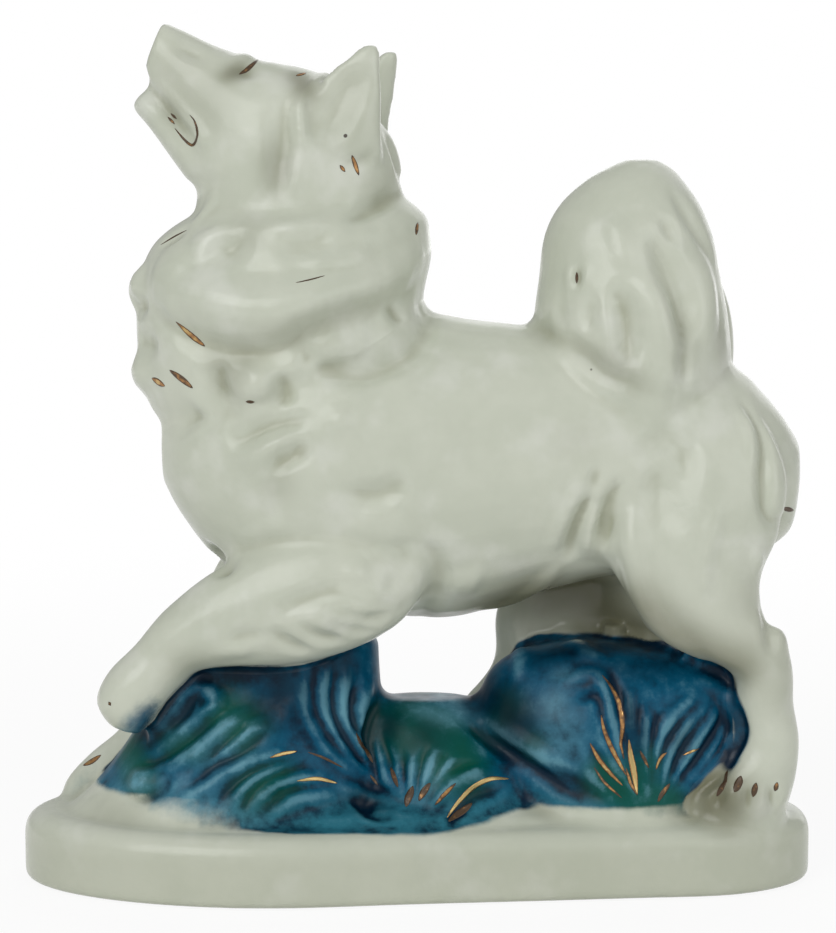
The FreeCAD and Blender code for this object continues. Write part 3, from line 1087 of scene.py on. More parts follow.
@dataclass(frozen=True)
class GoldLustre:
    """Brushed gold lustre, worn to brown at its edges and where it is thin."""

    name: str = "gold_lustre"
    gold: tuple[int, int, int] = (192, 166, 112)
    rust: tuple[int, int, int] = (160, 116, 70)
    brown: tuple[int, int, int] = (74, 56, 38)

    def mix(self) -> bpy.types.Material:
        """Mix the lustre.

        Returns:
            Its material.
        """
        nodes = Nodes(self.name)
        grain = nodes.sum("MULTIPLY", nodes.sum("SUBTRACT", nodes.noise(900, 3), 0.5), 1.1)
        worn = nodes.ramp(nodes.sum("ADD", nodes.field("worn"), grain), 0.2, 0.9)
        tone = nodes.mix(nodes.ramp(worn, 0.0, 0.5), colour(*self.gold), colour(*self.rust))
        tone = nodes.mix(nodes.ramp(worn, 0.5, 1.0), tone, colour(*self.brown))
        nodes.plug(tone, nodes.shader.inputs["Base Color"])
        nodes.plug(nodes.ramp(worn, 0.2, 0.8, 0.75, 0.1), nodes.shader.inputs["Metallic"])
        nodes.plug(nodes.ramp(worn, 0.0, 1.0, 0.28, 0.4), nodes.shader.inputs["Roughness"])
        return nodes.material


# ---------------------------------------------------------------- parting


def part(clay: bpy.types.Object, knife: bpy.types.Object, name: str) -> bpy.types.Object:
    """Cut a casting off the lump.

    Args:
        clay: What is left of the lump, which loses the casting.
        knife: A closed shape round the casting.
        name: The casting's name.

    Returns:
        The casting.
    """
    piece = copy_of(clay, name)
    finish_with(piece, "BOOLEAN", operation="INTERSECT", solver="MANIFOLD", object=knife)
    finish_with(clay, "BOOLEAN", operation="DIFFERENCE", solver="MANIFOLD", object=knife)
    return piece


def take_crumbs(rest: bpy.types.Object, castings: Sequence[bpy.types.Object]) -> bpy.types.Object:
    """Lute each crumb that the cuts left loose to the casting that it touches most.

    Args:
        rest: What the cuts left of the lump.
        castings: The castings that were cut off it.

    Returns:
        The rest without its crumbs.
    """
    pick(rest)
    bpy.ops.object.mode_set(mode="EDIT")
    bpy.ops.mesh.select_all(action="SELECT")
    bpy.ops.mesh.separate(type="LOOSE")
    bpy.ops.object.mode_set(mode="OBJECT")
    rest, *crumbs = sorted(bpy.context.selected_objects, key=lambda shard: -len(shard.data.vertices))
    skins = [skin_of(casting) for casting in castings]
    for crumb in crumbs:
        if len(crumb.data.polygons) >= SMALLEST_CRUMB:
            spots = [Vector(spot) for spot in places(crumb)[::3]]
            touching = [sum(skin.find_nearest(spot)[3] < CRUMB_TOUCH for spot in spots) for skin in skins]
            home = castings[touching.index(max(touching))]
            swell(crumb, CRUMB_SLIP)
            finish_with(home, "BOOLEAN", operation="UNION", solver="MANIFOLD", object=crumb)
            LOG.info("a crumb of %d faces went to %s", len(crumb.data.polygons), home.name)
        discard(crumb)
    return rest


def weld_casting(piece: bpy.types.Object) -> None:
    """Weld a casting, and take out its faces that lie back to back and its islands of a few faces.

    Folded slivers that keep to the skin along an edge stay in it. They hold no clay.

    Args:
        piece: The casting to clean.
    """
    finish_with(piece, "WELD", merge_threshold=WELD_REACH * MM)
    mesh = bmesh.new()
    mesh.from_mesh(piece.data)
    alike: dict[frozenset[int], list[bmesh.types.BMFace]] = {}
    for face in mesh.faces:
        alike.setdefault(frozenset(vert.index for vert in face.verts), []).append(face)
    slivers = [face for faces in alike.values() if len(faces) == 2 for face in faces]
    bmesh.ops.delete(mesh, geom=slivers, context="FACES")
    unseen = set(mesh.faces)
    while unseen:
        island = {unseen.pop()}
        edge_of_island = list(island)
        while edge_of_island:
            face = edge_of_island.pop()
            beside = {other for edge in face.edges for other in edge.link_faces} & unseen
            unseen -= beside
            island |= beside
            edge_of_island.extend(beside)
        if len(island) < SMALLEST_CRUMB:
            bmesh.ops.delete(mesh, geom=list(island), context="FACES")
    mesh.to_mesh(piece.data)
    mesh.free()


def hide_seams(piece: bpy.types.Object, whole: bpy.types.Object) -> None:
    """Shade a casting as the whole lump is shaded, so that its luted seams don't show.

    Args:
        piece: The casting.
        whole: The lump before it was parted.
    """
    piece.data.shade_smooth()
    finish_with(piece, "DATA_TRANSFER", object=whole, use_loop_data=True, data_types_loops={"CUSTOM_NORMAL"},
                loop_mapping="POLYINTERP_NEAREST")


@dataclass(frozen=True)
class Casting:
    """One casting: the node that it stands for, and the clay masses that it is pressed from.

    Attributes:
        name: The node.
        masses: Its masses, the largest first.
        margin: How far the cut that parts it runs outside its masses.
    """

    name: str
    masses: tuple[Rings, ...] = ()
    margin: float = 2.0

    def press(self, grow: float = 0.0) -> list[bpy.types.Object]:
        """Press every mass of the casting.

        Args:
            grow: Clay added all round each mass.

        Returns:
            One closed mesh for each mass.
        """
        return [press_mass(f"{self.name}_mass", rings, grow) for rings in self.masses]

    def knife(self) -> bpy.types.Object:
        """The closed shape that cuts the casting off the lump.

        Returns:
            The knife.
        """
        shape = join(self.press(self.margin), f"{self.name}_knife")
        knead(shape, KNIFE_GRAIN)
        return shape


@dataclass
class SubAssembly:
    """Part of the figurine, pressed and tooled with the rest of the lump and then parted from it.

    Attributes:
        finish: The slot that its castings take.
        fur: Soft locks tooled in its left side, which the right side repeats.
        leaves: Crisp leaves or claws tooled in its left side, which the right side repeats.
        gold: The gold laid on it.
        pieces: Its castings once they are parted, by the node that each stands for.
    """

    finish: str = "white_glaze"
    fur: Marks = ()
    leaves: Marks = ()
    gold: Marks = ()
    pieces: dict[str, bpy.types.Object] = field(default_factory=dict)

    def castings(self) -> tuple[Casting, ...]:
        """Its castings, in the order in which they are parted."""
        return ()

    def press(self) -> list[bpy.types.Object]:
        """Press every mass of every casting."""
        return [mass for casting in self.castings() for mass in casting.press()]

    def soft_marks(self) -> Marks:
        """Its locks of fur, on both sides."""
        return (*self.fur, *mirrored(self.fur))

    def crisp_marks(self) -> Marks:
        """Its leaves and claws, on both sides."""
        return (*self.leaves, *mirrored(self.leaves))

    def build(self, clay: bpy.types.Object) -> None:
        """Cut its castings off the lump.

        Args:
            clay: What is left of the lump, which loses them.
        """
        for casting in self.castings():
            knife = casting.knife()
            self.pieces[casting.name] = part(clay, knife, f"{casting.name}_casting")
            discard(knife)

    def dress(self, glaze: bpy.types.Material, paint: PaintMap, whole: bpy.types.Object) -> None:
        """Glaze its castings and set each on its node.

        Args:
            glaze: Their finish.
            paint: The lump's colours.
            whole: The lump before it was parted.
        """
        for node, piece in self.pieces.items():
            piece.name = f"{node}_casting"
            weld_casting(piece)
            paint.share(piece)
            hide_seams(piece, whole)
            piece.data.materials.clear()
            piece.data.materials.append(glaze)
            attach(piece, "root")
            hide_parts(node)
            LOG.info("%s: %d faces", piece.name, len(piece.data.polygons))


# ---------------------------------------------------------------- sub-assemblies


@dataclass
class Plinth(SubAssembly):
    """The oval plinth and the low ground on it, parted by a flat cut at the plinth's top."""

    slab: tuple[float, float, float] = (300.0, 200.0, 100.0)
    ground: Rings = (
        Ring(-8.0, -2.0, 62.0, 22.5),
        Ring(-8.0, 1.0, 58.0, 21.5),
        Ring(-10.0, 2.6, 46.0, 18.0),
        Ring(-10.0, 3.2, 30.0, 12.0),
    )

    def press(self) -> list[bpy.types.Object]:
        """Press the low ground, and copy the plinth as it was drawn.

        Returns:
            The two masses.
        """
        plinth = copy_of(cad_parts["plinth"], "plinth_mass")
        plinth.parent = None
        finish_with(plinth, "WELD", merge_threshold=0.01 * MM)
        return [press_mass("ground_mass", self.ground), plinth]

    def build(self, clay: bpy.types.Object) -> None:
        """Cut off all that lies below the plinth's top.

        Args:
            clay: The lump, which loses the plinth.
        """
        deselect()
        bpy.ops.mesh.primitive_cube_add(size=1.0, scale=[side * MM for side in self.slab],
                                        location=(0, 0, (PLINTH_TOP - self.slab[2] / 2) * MM))
        knife = bpy.context.object
        bpy.ops.object.transform_apply(location=True, rotation=True, scale=True)
        self.pieces["plinth"] = part(clay, knife, "plinth_casting")
        discard(knife)


@dataclass
class Rocks(SubAssembly):
    """The three rocks under the dog, with their leaves and the grass laid on them in gold."""

    finish: str = "blue_glaze"
    front: Rings = (
        Ring(-36.5, -1.0, 34.5, 22.5),
        Ring(-34.0, 6.0, 29.5, 20.5),
        Ring(-32.0, 14.0, 25.5, 17.5),
        Ring(-30.0, 22.0, 23.0, 15.5),
        Ring(-26.5, 30.0, 19.0, 14.0),
        Ring(-23.5, 34.0, 15.5, 12.5),
        Ring(-22.0, 38.0, 10.0, 10.0),
    )
    middle: Rings = (
        Ring(8.0, -1.0, 22.5, 19.5),
        Ring(6.0, 8.0, 18.0, 16.5),
        Ring(3.6, 15.0, 14.2, 12.5),
        Ring(1.8, 19.8, 11.4, 8.6),
        Ring(1.6, 22.2, 8.4, 5.0),
    )
    rear: Rings = (
        Ring(39.2, -1.0, 24.8, 18.5),
        Ring(39.0, 7.0, 24.6, 17.6),
        Ring(38.6, 14.0, 26.0, 17.2),
        Ring(38.6, 20.0, 27.0, 16.2),
        Ring(39.2, 25.0, 26.0, 14.2),
        Ring(38.6, 28.6, 23.0, 11.8),
        Ring(37.0, 31.4, 16.8, 9.4),
        Ring(35.4, 32.6, 9.6, 6.4),
        Ring(34.6, 33.4, 4.0, 3.2),
    )
    leaves: Marks = (
        Mark(((-22.4, 31.5), (-21.5, 23.5), (-19.0, 17.6), (-14.5, 12.0), (-7.3, 6.8)), 3.2, 1.1),
        Mark(((-17.6, 31.3), (-18.4, 23.3), (-15.7, 16.5), (-10.8, 11.0)), 2.8, 1.1),
        Mark(((-13.7, 29.9), (-14.5, 22.2), (-12.6, 16.1), (-8.5, 9.8)), 2.8, 1.1),
        Mark(((-8.9, 25.5), (-11.2, 20.7), (-11.2, 16.0)), 2.8, 1.0),
        Mark(((-19.8, 30.9), (-20.3, 23.1), (-17.4, 16.5), (-12.4, 9.8)), 2.4, -1.1),
        Mark(((-15.8, 30.4), (-16.5, 22.8), (-14.1, 16.1), (-9.8, 9.8)), 2.4, -1.1),
        Mark(((-11.2, 27.8), (-13.0, 21.4), (-11.8, 15.0)), 2.4, -1.0),
        Mark(((-7.3, 22.2), (-9.7, 17.7), (-9.3, 13.1), (-6.5, 8.6)), 2.4, -1.0),
        Mark(((-52.6, 15.6), (-48.9, 20.5), (-44.9, 25.4), (-41.4, 25.7), (-39.5, 23.6), (-41.5, 20.7),
              (-46.5, 16.4), (-52.1, 12.3)), 2.4, 1.1),
        Mark(((-43.4, 23.8), (-45.9, 20.7), (-48.5, 17.6)), 1.8, -0.8),
        Mark(((-37.3, 23.5), (-44.4, 17.1), (-52.1, 11.4), (-55.4, 10.2)), 2.6, -1.4),
        Mark(((-33.4, 22.7), (-38.9, 17.4), (-44.4, 13.1), (-49.3, 10.3)), 3.0, 1.0),
        Mark(((-33.0, 20.1), (-38.0, 15.6), (-43.1, 11.5)), 2.4, -0.9),
        Mark(((-30.2, 21.2), (-33.9, 16.6), (-39.0, 13.2)), 2.8, 0.9),
        Mark(((-29.1, 18.9), (-33.9, 15.2), (-40.0, 11.3), (-45.0, 7.1)), 2.6, -1.1),
        Mark(((-40.2, 27.4), (-32.6, 25.8), (-24.4, 22.7)), 8.0, -1.6),
        Mark(((-22.8, 14.2), (-30.2, 13.1), (-37.0, 10.5), (-42.2, 7.2), (-46.7, 4.9)), 2.8, 0.9),
        Mark(((-21.5, 13.6), (-28.0, 11.4), (-32.9, 8.5), (-35.9, 4.1)), 2.4, 0.8),
        Mark(((-17.0, 8.9), (-24.2, 9.2), (-29.2, 7.8), (-32.8, 4.1)), 2.4, 0.8),
        Mark(((-16.0, 5.6), (-23.5, 5.5), (-28.2, 2.2)), 2.6, 0.8),
        Mark(((-23.2, 12.5), (-30.2, 11.4), (-36.0, 8.2), (-39.2, 4.4)), 2.0, -0.7),
        Mark(((-21.8, 11.2), (-27.1, 9.9), (-31.3, 7.4), (-34.4, 3.4)), 2.0, -0.7),
        Mark(((-19.3, 7.1), (-25.1, 6.9), (-30.1, 3.3)), 2.0, -0.7),
        Mark(((-13.5, 5.2), (-9.2, 2.6), (-4.3, 1.9)), 2.8, -1.1),
        Mark(((-54.4, 8.0),), 4.0, 1.3, Taper.NONE),
        Mark(((-57.4, 5.5), (-53.8, 4.9), (-49.8, 6.8), (-48.3, 9.5)), 2.4, -0.9),
        Mark(((-15.1, 7.4), (-10.2, 4.3), (-4.3, 3.8)), 2.6, 0.9),
        Mark(((-8.9, 16.4), (-7.3, 10.9), (-2.9, 4.8)), 2.4, 0.9),
        Mark(((-5.1, 10.7), (-2.3, 4.9)), 2.2, 0.8),
        Mark(((-0.8, 12.4), (-1.4, 5.0)), 2.2, 0.8),
        Mark(((3.9, 14.3), (0.6, 6.0)), 2.4, 0.8),
        Mark(((7.5, 12.6), (2.2, 5.4)), 2.4, 0.8),
        Mark(((14.4, 10.3), (6.5, 8.1), (2.6, 3.4)), 2.8, 1.0),
        Mark(((-6.9, 15.4), (-5.3, 10.5), (-2.5, 5.2)), 2.0, -0.8),
        Mark(((-2.9, 13.3), (-2.1, 5.3)), 2.0, -0.7),
        Mark(((1.8, 14.6), (-0.6, 5.4)), 2.0, -0.7),
        Mark(((5.7, 13.9), (1.4, 5.5)), 2.0, -0.7),
        Mark(((11.4, 11.5), (5.9, 9.5), (2.2, 4.8)), 2.2, -0.9),
        Mark(((17.3, 6.7), (11.4, 5.7), (8.0, 2.8), (6.0, 0.6)), 2.6, -1.2),
        Mark(((7.6, 19.3), (14.4, 15.0), (22.2, 10.9), (28.4, 7.3), (36.3, 4.1)), 2.8, -1.3),
        Mark(((10.6, 19.9), (17.4, 16.7), (25.1, 12.6), (31.9, 9.1)), 3.2, 0.9),
        Mark(((37.3, 30.0), (39.7, 22.7), (42.4, 14.1), (44.3, 5.9)), 3.0, -1.6),
        Mark(((41.1, 26.6), (41.3, 20.3), (43.0, 12.2), (45.1, 5.9)), 2.4, 1.0),
        Mark(((44.5, 22.6), (44.9, 15.6), (45.5, 6.8)), 2.4, 1.0),
        Mark(((54.6, 24.4), (49.6, 20.2), (46.9, 14.5), (46.7, 6.8)), 2.4, 1.0),
        Mark(((57.0, 22.6), (53.0, 18.5), (49.7, 13.8), (47.9, 6.7)), 2.4, 1.0),
        Mark(((59.0, 22.4), (57.7, 18.9), (54.4, 14.0), (49.1, 6.7)), 2.4, 1.0),
        Mark(((61.0, 20.6), (59.8, 16.6), (55.6, 11.4), (50.1, 6.2)), 2.4, 1.0),
        Mark(((54.0, 28.1), (60.2, 24.6), (62.5, 17.9), (58.4, 11.4), (50.7, 6.0)), 3.2, 1.0),
        Mark(((43.1, 24.8), (43.2, 16.9), (44.5, 6.8)), 2.0, -1.0),
        Mark(((47.2, 21.6), (45.7, 15.0), (46.1, 6.8)), 2.4, -1.1),
        Mark(((52.0, 20.3), (48.1, 14.1), (47.3, 7.1)), 2.2, -1.0),
        Mark(((55.7, 20.9), (51.5, 14.2), (48.5, 6.7)), 2.2, -1.0),
        Mark(((59.4, 19.9), (55.6, 13.5), (49.7, 6.4)), 2.2, -1.0),
        Mark(((63.2, 23.2), (63.9, 17.1), (60.6, 10.7), (53.9, 4.8)), 2.6, -1.1),
        Mark(((28.2, 27.0), (34.1, 28.6), (37.1, 25.7), (38.5, 20.0), (40.4, 12.8)), 2.8, 1.0),
        Mark(((31.0, 23.8), (35.5, 24.8), (37.1, 20.4), (38.8, 13.8)), 2.2, -0.8),
        Mark(((33.8, 16.6), (36.7, 9.8), (41.6, 4.9)), 2.6, -1.0),
        Mark(((25.1, 11.2), (30.9, 8.0), (37.1, 4.5)), 3.0, -1.1),
    )
    gold: Marks = (
        Mark(((-28.6, 13.5), (-26.1, 14.1), (-23.4, 14.4)), 0.9, 0.2),
        Mark(((-23.4, 9.0), (-19.5, 9.1), (-15.6, 7.8)), 1.0, 0.1),
        Mark(((-21.3, 14.1), (-18.0, 12.7), (-14.5, 10.7)), 0.6, 0.9),
        Mark(((-12.0, 16.9), (-10.4, 13.6), (-8.7, 10.7)), 1.4, 0.9),
        Mark(((-9.2, 8.5), (-7.7, 6.6)), 0.7, 0.8),
        Mark(((18.1, 8.0), (14.5, 8.4), (11.2, 7.2), (8.4, 4.7), (5.9, 1.8)), 1.3, 0.0),
        Mark(((10.8, 4.1), (9.0, 2.7), (6.2, 1.2)), 1.8, 0.9),
        Mark(((7.6, 8.2), (5.5, 6.2), (3.5, 4.0)), 1.1, 0.65),
        Mark(((2.6, 8.0), (1.2, 6.1), (0.4, 4.6)), 1.6, 0.75),
        Mark(((-0.8, 7.3), (-1.7, 4.9), (-2.1, 3.4)), 2.0, 0.85),
        Mark(((-5.1, 10.1), (-4.5, 8.7), (-3.7, 6.8)), 1.2, 0.85),
        Mark(((36.3, 28.7), (37.9, 26.7), (39.6, 23.2), (40.1, 19.2), (39.8, 16.0),
              (40.4, 13.0)), 1.4, 0.6),
        Mark(((36.0, 21.3), (36.5, 18.7), (37.7, 15.7), (39.4, 12.4), (41.0, 9.6)), 1.2, 0.55),
        Mark(((33.8, 16.0), (35.5, 12.9), (37.7, 10.2), (40.2, 7.7)), 1.2, 0.5),
        Mark(((34.6, 11.2), (36.7, 8.2), (40.0, 5.3)), 0.7, 0.7),
        Mark(((41.4, 16.6), (41.8, 13.3), (42.4, 10.2), (43.0, 5.9)), 1.5, 0.2),
        Mark(((40.8, 11.2), (41.8, 8.1), (43.0, 5.9)), 0.9, 0.6),
        Mark(((43.6, 14.5), (44.5, 12.7), (45.3, 11.1)), 0.9, 0.8),
        Mark(((46.7, 10.7), (47.5, 12.8), (48.9, 14.0)), 0.9, 0.6),
        Mark(((52.1, 13.2), (53.7, 13.9), (55.4, 14.3)), 0.7, 0.4),
        Mark(((47.1, 4.4), (48.1, 6.1), (49.5, 7.8)), 1.2, 0.8),
    )

    def castings(self) -> tuple[Casting, ...]:
        """The rocks from front to rear."""
        return (Casting("front_rock", (self.front,), 6.5), Casting("middle_rock", (self.middle,), 6.5),
                Casting("rear_rock", (self.rear,), 6.5))


@dataclass
class Head(SubAssembly):
    """The barking head with its ears and its lower jaw."""

    skull: Rings = (
        Ring(-25.0, 90.0, 19.0, 14.5, 86),
        Ring(-24.0, 106.0, 20.0, 15.0, 88),
        Ring(-23.4, 118.0, 20.4, 14.8, 86),
        Ring(-23.2, 126.0, 20.2, 14.4, 82),
        Ring(-26.0, 131.2, 19.8, 13.6, 76),
        Ring(-32.0, 137.6, 15.8, 12.0, 60),
        Ring(-38.2, 141.2, 10.6, 9.4, 48),
        Ring(-43.8, 144.8, 7.9, 7.0, 38),
        Ring(-48.4, 148.6, 6.2, 5.3, 28),
        Ring(-51.3, 151.5, 4.7, 4.2, 22),
    )
    lower_lip: Rings = (
        Ring(-41.4, 127.8, 4.6, 6.8, 48),
        Ring(-44.6, 131.2, 4.0, 6.2, 50),
        Ring(-48.0, 135.0, 3.4, 5.6, 50),
        Ring(-51.2, 138.4, 2.9, 5.0, 46),
        Ring(-53.4, 140.2, 2.5, 3.8, 42),
        Ring(-54.6, 141.0, 1.5, 2.2, 40),
    )
    tongue: Rings = (
        Ring(-41.0, 131.0, 6.5, 3.6, 48),
        Ring(-44.2, 135.0, 6.2, 3.5, 48),
        Ring(-47.4, 139.0, 5.2, 3.4, 46),
        Ring(-49.8, 142.0, 3.4, 2.8, 44),
    )
    left_ear: Rings = (
        Ring(-15.5, 129.0, 9.0, 3.4, 86, -9.6),
        Ring(-14.6, 135.5, 7.9, 3.0, 86, -9.8),
        Ring(-13.6, 141.0, 7.0, 2.6, 86, -9.8),
        Ring(-12.1, 145.3, 5.2, 2.2, 84, -9.6),
        Ring(-10.5, 148.6, 3.6, 1.8, 82, -9.2),
        Ring(-9.6, 150.6, 2.3, 1.4, 80, -8.8),
        Ring(-9.2, 151.4, 1.0, 0.8, 80, -8.6),
    )
    right_ear: Rings = (
        Ring(-14.0, 129.0, 9.0, 3.4, 86, 9.6),
        Ring(-12.6, 135.5, 7.2, 3.0, 86, 9.8),
        Ring(-11.0, 141.0, 6.6, 2.6, 86, 9.8),
        Ring(-8.9, 145.3, 5.0, 2.2, 84, 9.6),
        Ring(-6.7, 148.0, 3.2, 1.8, 82, 9.2),
        Ring(-5.7, 149.6, 1.9, 1.3, 80, 8.8),
        Ring(-5.4, 150.2, 0.8, 0.8, 80, 8.6),
    )
    fur: Marks = (
        Mark(((-46.9, 151.3), (-44.0, 149.9), (-41.0, 148.4)), 1.8, -0.6),
        Mark(((-51.9, 148.4), (-51.6, 145.5), (-48.9, 142.6), (-45.9, 139.1), (-42.9, 135.9),
              (-41.3, 133.0)), 2.2, 0.7, Taper.START),
        Mark(((-33.2, 146.4),), 3.6, -0.9, Taper.NONE),
        Mark(((-36.1, 147.6), (-33.3, 148.9), (-30.1, 148.8), (-27.5, 147.2)), 2.2, 0.6),
        Mark(((-25.6, 141.1), (-25.9, 133.1), (-26.5, 126.4), (-26.1, 121.7)), 3.8, -1.0),
        Mark(((-26.5, 131.2), (-26.7, 123.6)), 3.0, -0.8),
        Mark(((-21.9, 130.8), (-22.5, 138.8), (-20.6, 142.6), (-16.7, 145.5), (-12.5, 148.7)), 2.4, 1.0),
        Mark(((-18.2, 133.1), (-15.7, 138.8), (-12.5, 144.9), (-10.2, 148.0)), 6.0, -1.5),
        Mark(((-14.8, 129.3), (-10.6, 129.2), (-6.8, 131.0)), 2.2, -0.6),
        Mark(((-6.4, 135.2), (-4.2, 129.9), (-2.5, 123.2)), 2.0, -0.8),
        Mark(((-38.4, 122.9), (-41.1, 119.1), (-43.6, 116.4)), 2.0, 0.5),
        Mark(((-2.9, 122.7), (-9.0, 119.7), (-13.8, 117.5)), 2.6, -1.1),
    )
    gold: Marks = (
        Mark(((-47.0, 135.2), (-45.0, 132.9), (-43.4, 132.0), (-42.4, 134.0), (-42.9, 136.5),
              (-43.9, 137.8)), 0.7, 0.9),
        Mark(((-48.4, 137.4), (-47.0, 136.0)), 0.6, 0.9),
        Mark(((-47.8, 138.1), (-46.6, 137.0)), 0.6, 0.9),
        Mark(((-34.4, 145.6), (-32.8, 146.6), (-31.0, 148.4)), 1.1, 0.85),
        Mark(((-23.4, 145.3), (-21.5, 145.9)), 0.9, 0.6),
        Mark(((-14.8, 128.3), (-13.8, 127.0)), 0.9, 0.7),
        Mark(((-12.5, 130.2), (-11.2, 126.3)), 1.1, 0.7),
        Mark(((0.2, 117.0), (-0.2, 114.7)), 1.2, 0.7),
    )

    def castings(self) -> tuple[Casting, ...]:
        """The ears and the jaw, which come off before the head does."""
        return (Casting("left_ear", (self.left_ear,), 1.2), Casting("right_ear", (self.right_ear,), 1.2),
                Casting("lower_jaw", (self.lower_lip, self.tongue), 1.0), Casting("head", (self.skull,), 2.0))


@dataclass
class Mane(SubAssembly):
    """The ruff of long fur round the neck and down the chest."""

    ruff: Rings = (
        Ring(-25.0, 83.0, 24.0, 18.0, 68),
        Ring(-25.8, 90.0, 28.4, 20.5, 69),
        Ring(-26.2, 96.0, 29.8, 21.4, 71),
        Ring(-26.2, 103.0, 30.0, 21.4, 76),
        Ring(-26.0, 110.0, 29.0, 20.4, 81),
        Ring(-25.2, 114.6, 27.4, 18.6, 83.5),
        Ring(-25.0, 117.8, 24.2, 16.6, 83.5),
        Ring(-24.6, 120.0, 20.6, 14.8, 83.5),
    )
    fur: Marks = (
        Mark(((-47.5, 107.0), (-45.5, 103.5)), 8.0, 1.3, Taper.NONE),
        Mark(((-41.5, 88.6), (-36.5, 88.0), (-31.5, 89.4)), 3.6, -1.0),
        Mark(((-33.5, 87.0), (-31.5, 83.5)), 5.0, 0.9, Taper.NONE),
        Mark(((-26.9, 113.1), (-22.3, 112.9), (-15.7, 115.1)), 3.6, -0.7),
        Mark(((-38.5, 111.8), (-35.8, 112.8), (-33.1, 112.6)), 5.0, -1.2),
        Mark(((-43.3, 109.8), (-41.8, 113.0), (-38.6, 114.8), (-34.7, 115.6)), 3.8, 0.7),
        Mark(((-50.1, 112.3), (-44.6, 115.8)), 2.4, -0.7),
        Mark(((-52.4, 108.9), (-44.6, 104.1), (-30.9, 101.0), (-18.5, 102.5), (-7.1, 106.0),
              (1.9, 111.3)), 8.0, 2.4),
        Mark(((-52.2, 101.5), (-47.6, 97.6), (-40.6, 93.7), (-30.9, 92.2), (-24.2, 94.1), (-21.0, 97.2),
              (-13.8, 100.5), (-7.5, 102.6), (-2.3, 106.1)), 4.4, -1.6),
        Mark(((-18.9, 93.6), (-10.0, 93.9), (-4.2, 97.5), (-0.2, 102.3)), 6.0, 1.5),
        Mark(((-20.1, 89.7), (-11.5, 88.6), (-4.2, 90.8), (0.9, 94.5), (3.5, 100.1)), 4.0, -1.4),
        Mark(((-22.3, 96.6), (-21.8, 93.3), (-20.3, 89.7)), 2.8, -1.1),
        Mark(((-5.8, 101.1), (-3.9, 98.0)), 2.0, -1.0),
        Mark(((-31.0, 86.3),), 6.5, 1.5, Taper.NONE),
        Mark(((-37.3, 91.7), (-38.0, 87.4), (-36.2, 83.0)), 3.4, -1.5),
        Mark(((-27.0, 89.1), (-25.1, 85.1), (-26.8, 81.7)), 2.8, -0.9),
        Mark(((-44.6, 84.1), (-41.3, 82.7), (-39.2, 79.9), (-41.4, 77.3), (-45.6, 74.7)), 2.8, 1.0),
        Mark(((-54.2, 105.6), (-54.4, 103.3)), 5.0, 1.4),
        Mark(((-55.2, 100.9), (-52.7, 100.9)), 3.0, -1.0),
        Mark(((-54.1, 93.9), (-50.8, 93.4)), 3.4, -1.0),
        Mark(((-53.8, 87.6),), 5.5, 1.4, Taper.NONE),
        Mark(((-22.3, 110.1), (-14.7, 110.0), (-8.0, 111.8)), 3.0, 0.8),
        Mark(((-29.7, 116.8), (-22.4, 116.5), (-16.6, 118.3)), 3.0, 0.7),
    )
    gold: Marks = (
        Mark(((-49.9, 112.6), (-47.1, 114.3), (-44.6, 115.6)), 0.4, 1.0),
        Mark(((-23.0, 106.3), (-20.2, 106.9), (-17.5, 107.6)), 0.35, 1.0),
        Mark(((-46.4, 98.3), (-43.6, 95.9), (-40.8, 93.7)), 1.5, 0.5),
        Mark(((-47.8, 88.8), (-45.3, 87.2), (-43.2, 85.6)), 1.6, 0.75),
        Mark(((-51.6, 86.8), (-48.9, 85.6)), 1.7, 0.5),
        Mark(((-32.8, 83.3), (-31.1, 83.3)), 1.0, 0.9),
    )

    def castings(self) -> tuple[Casting, ...]:
        """The ruff."""
        return (Casting("mane", (self.ruff,), 4.5),)


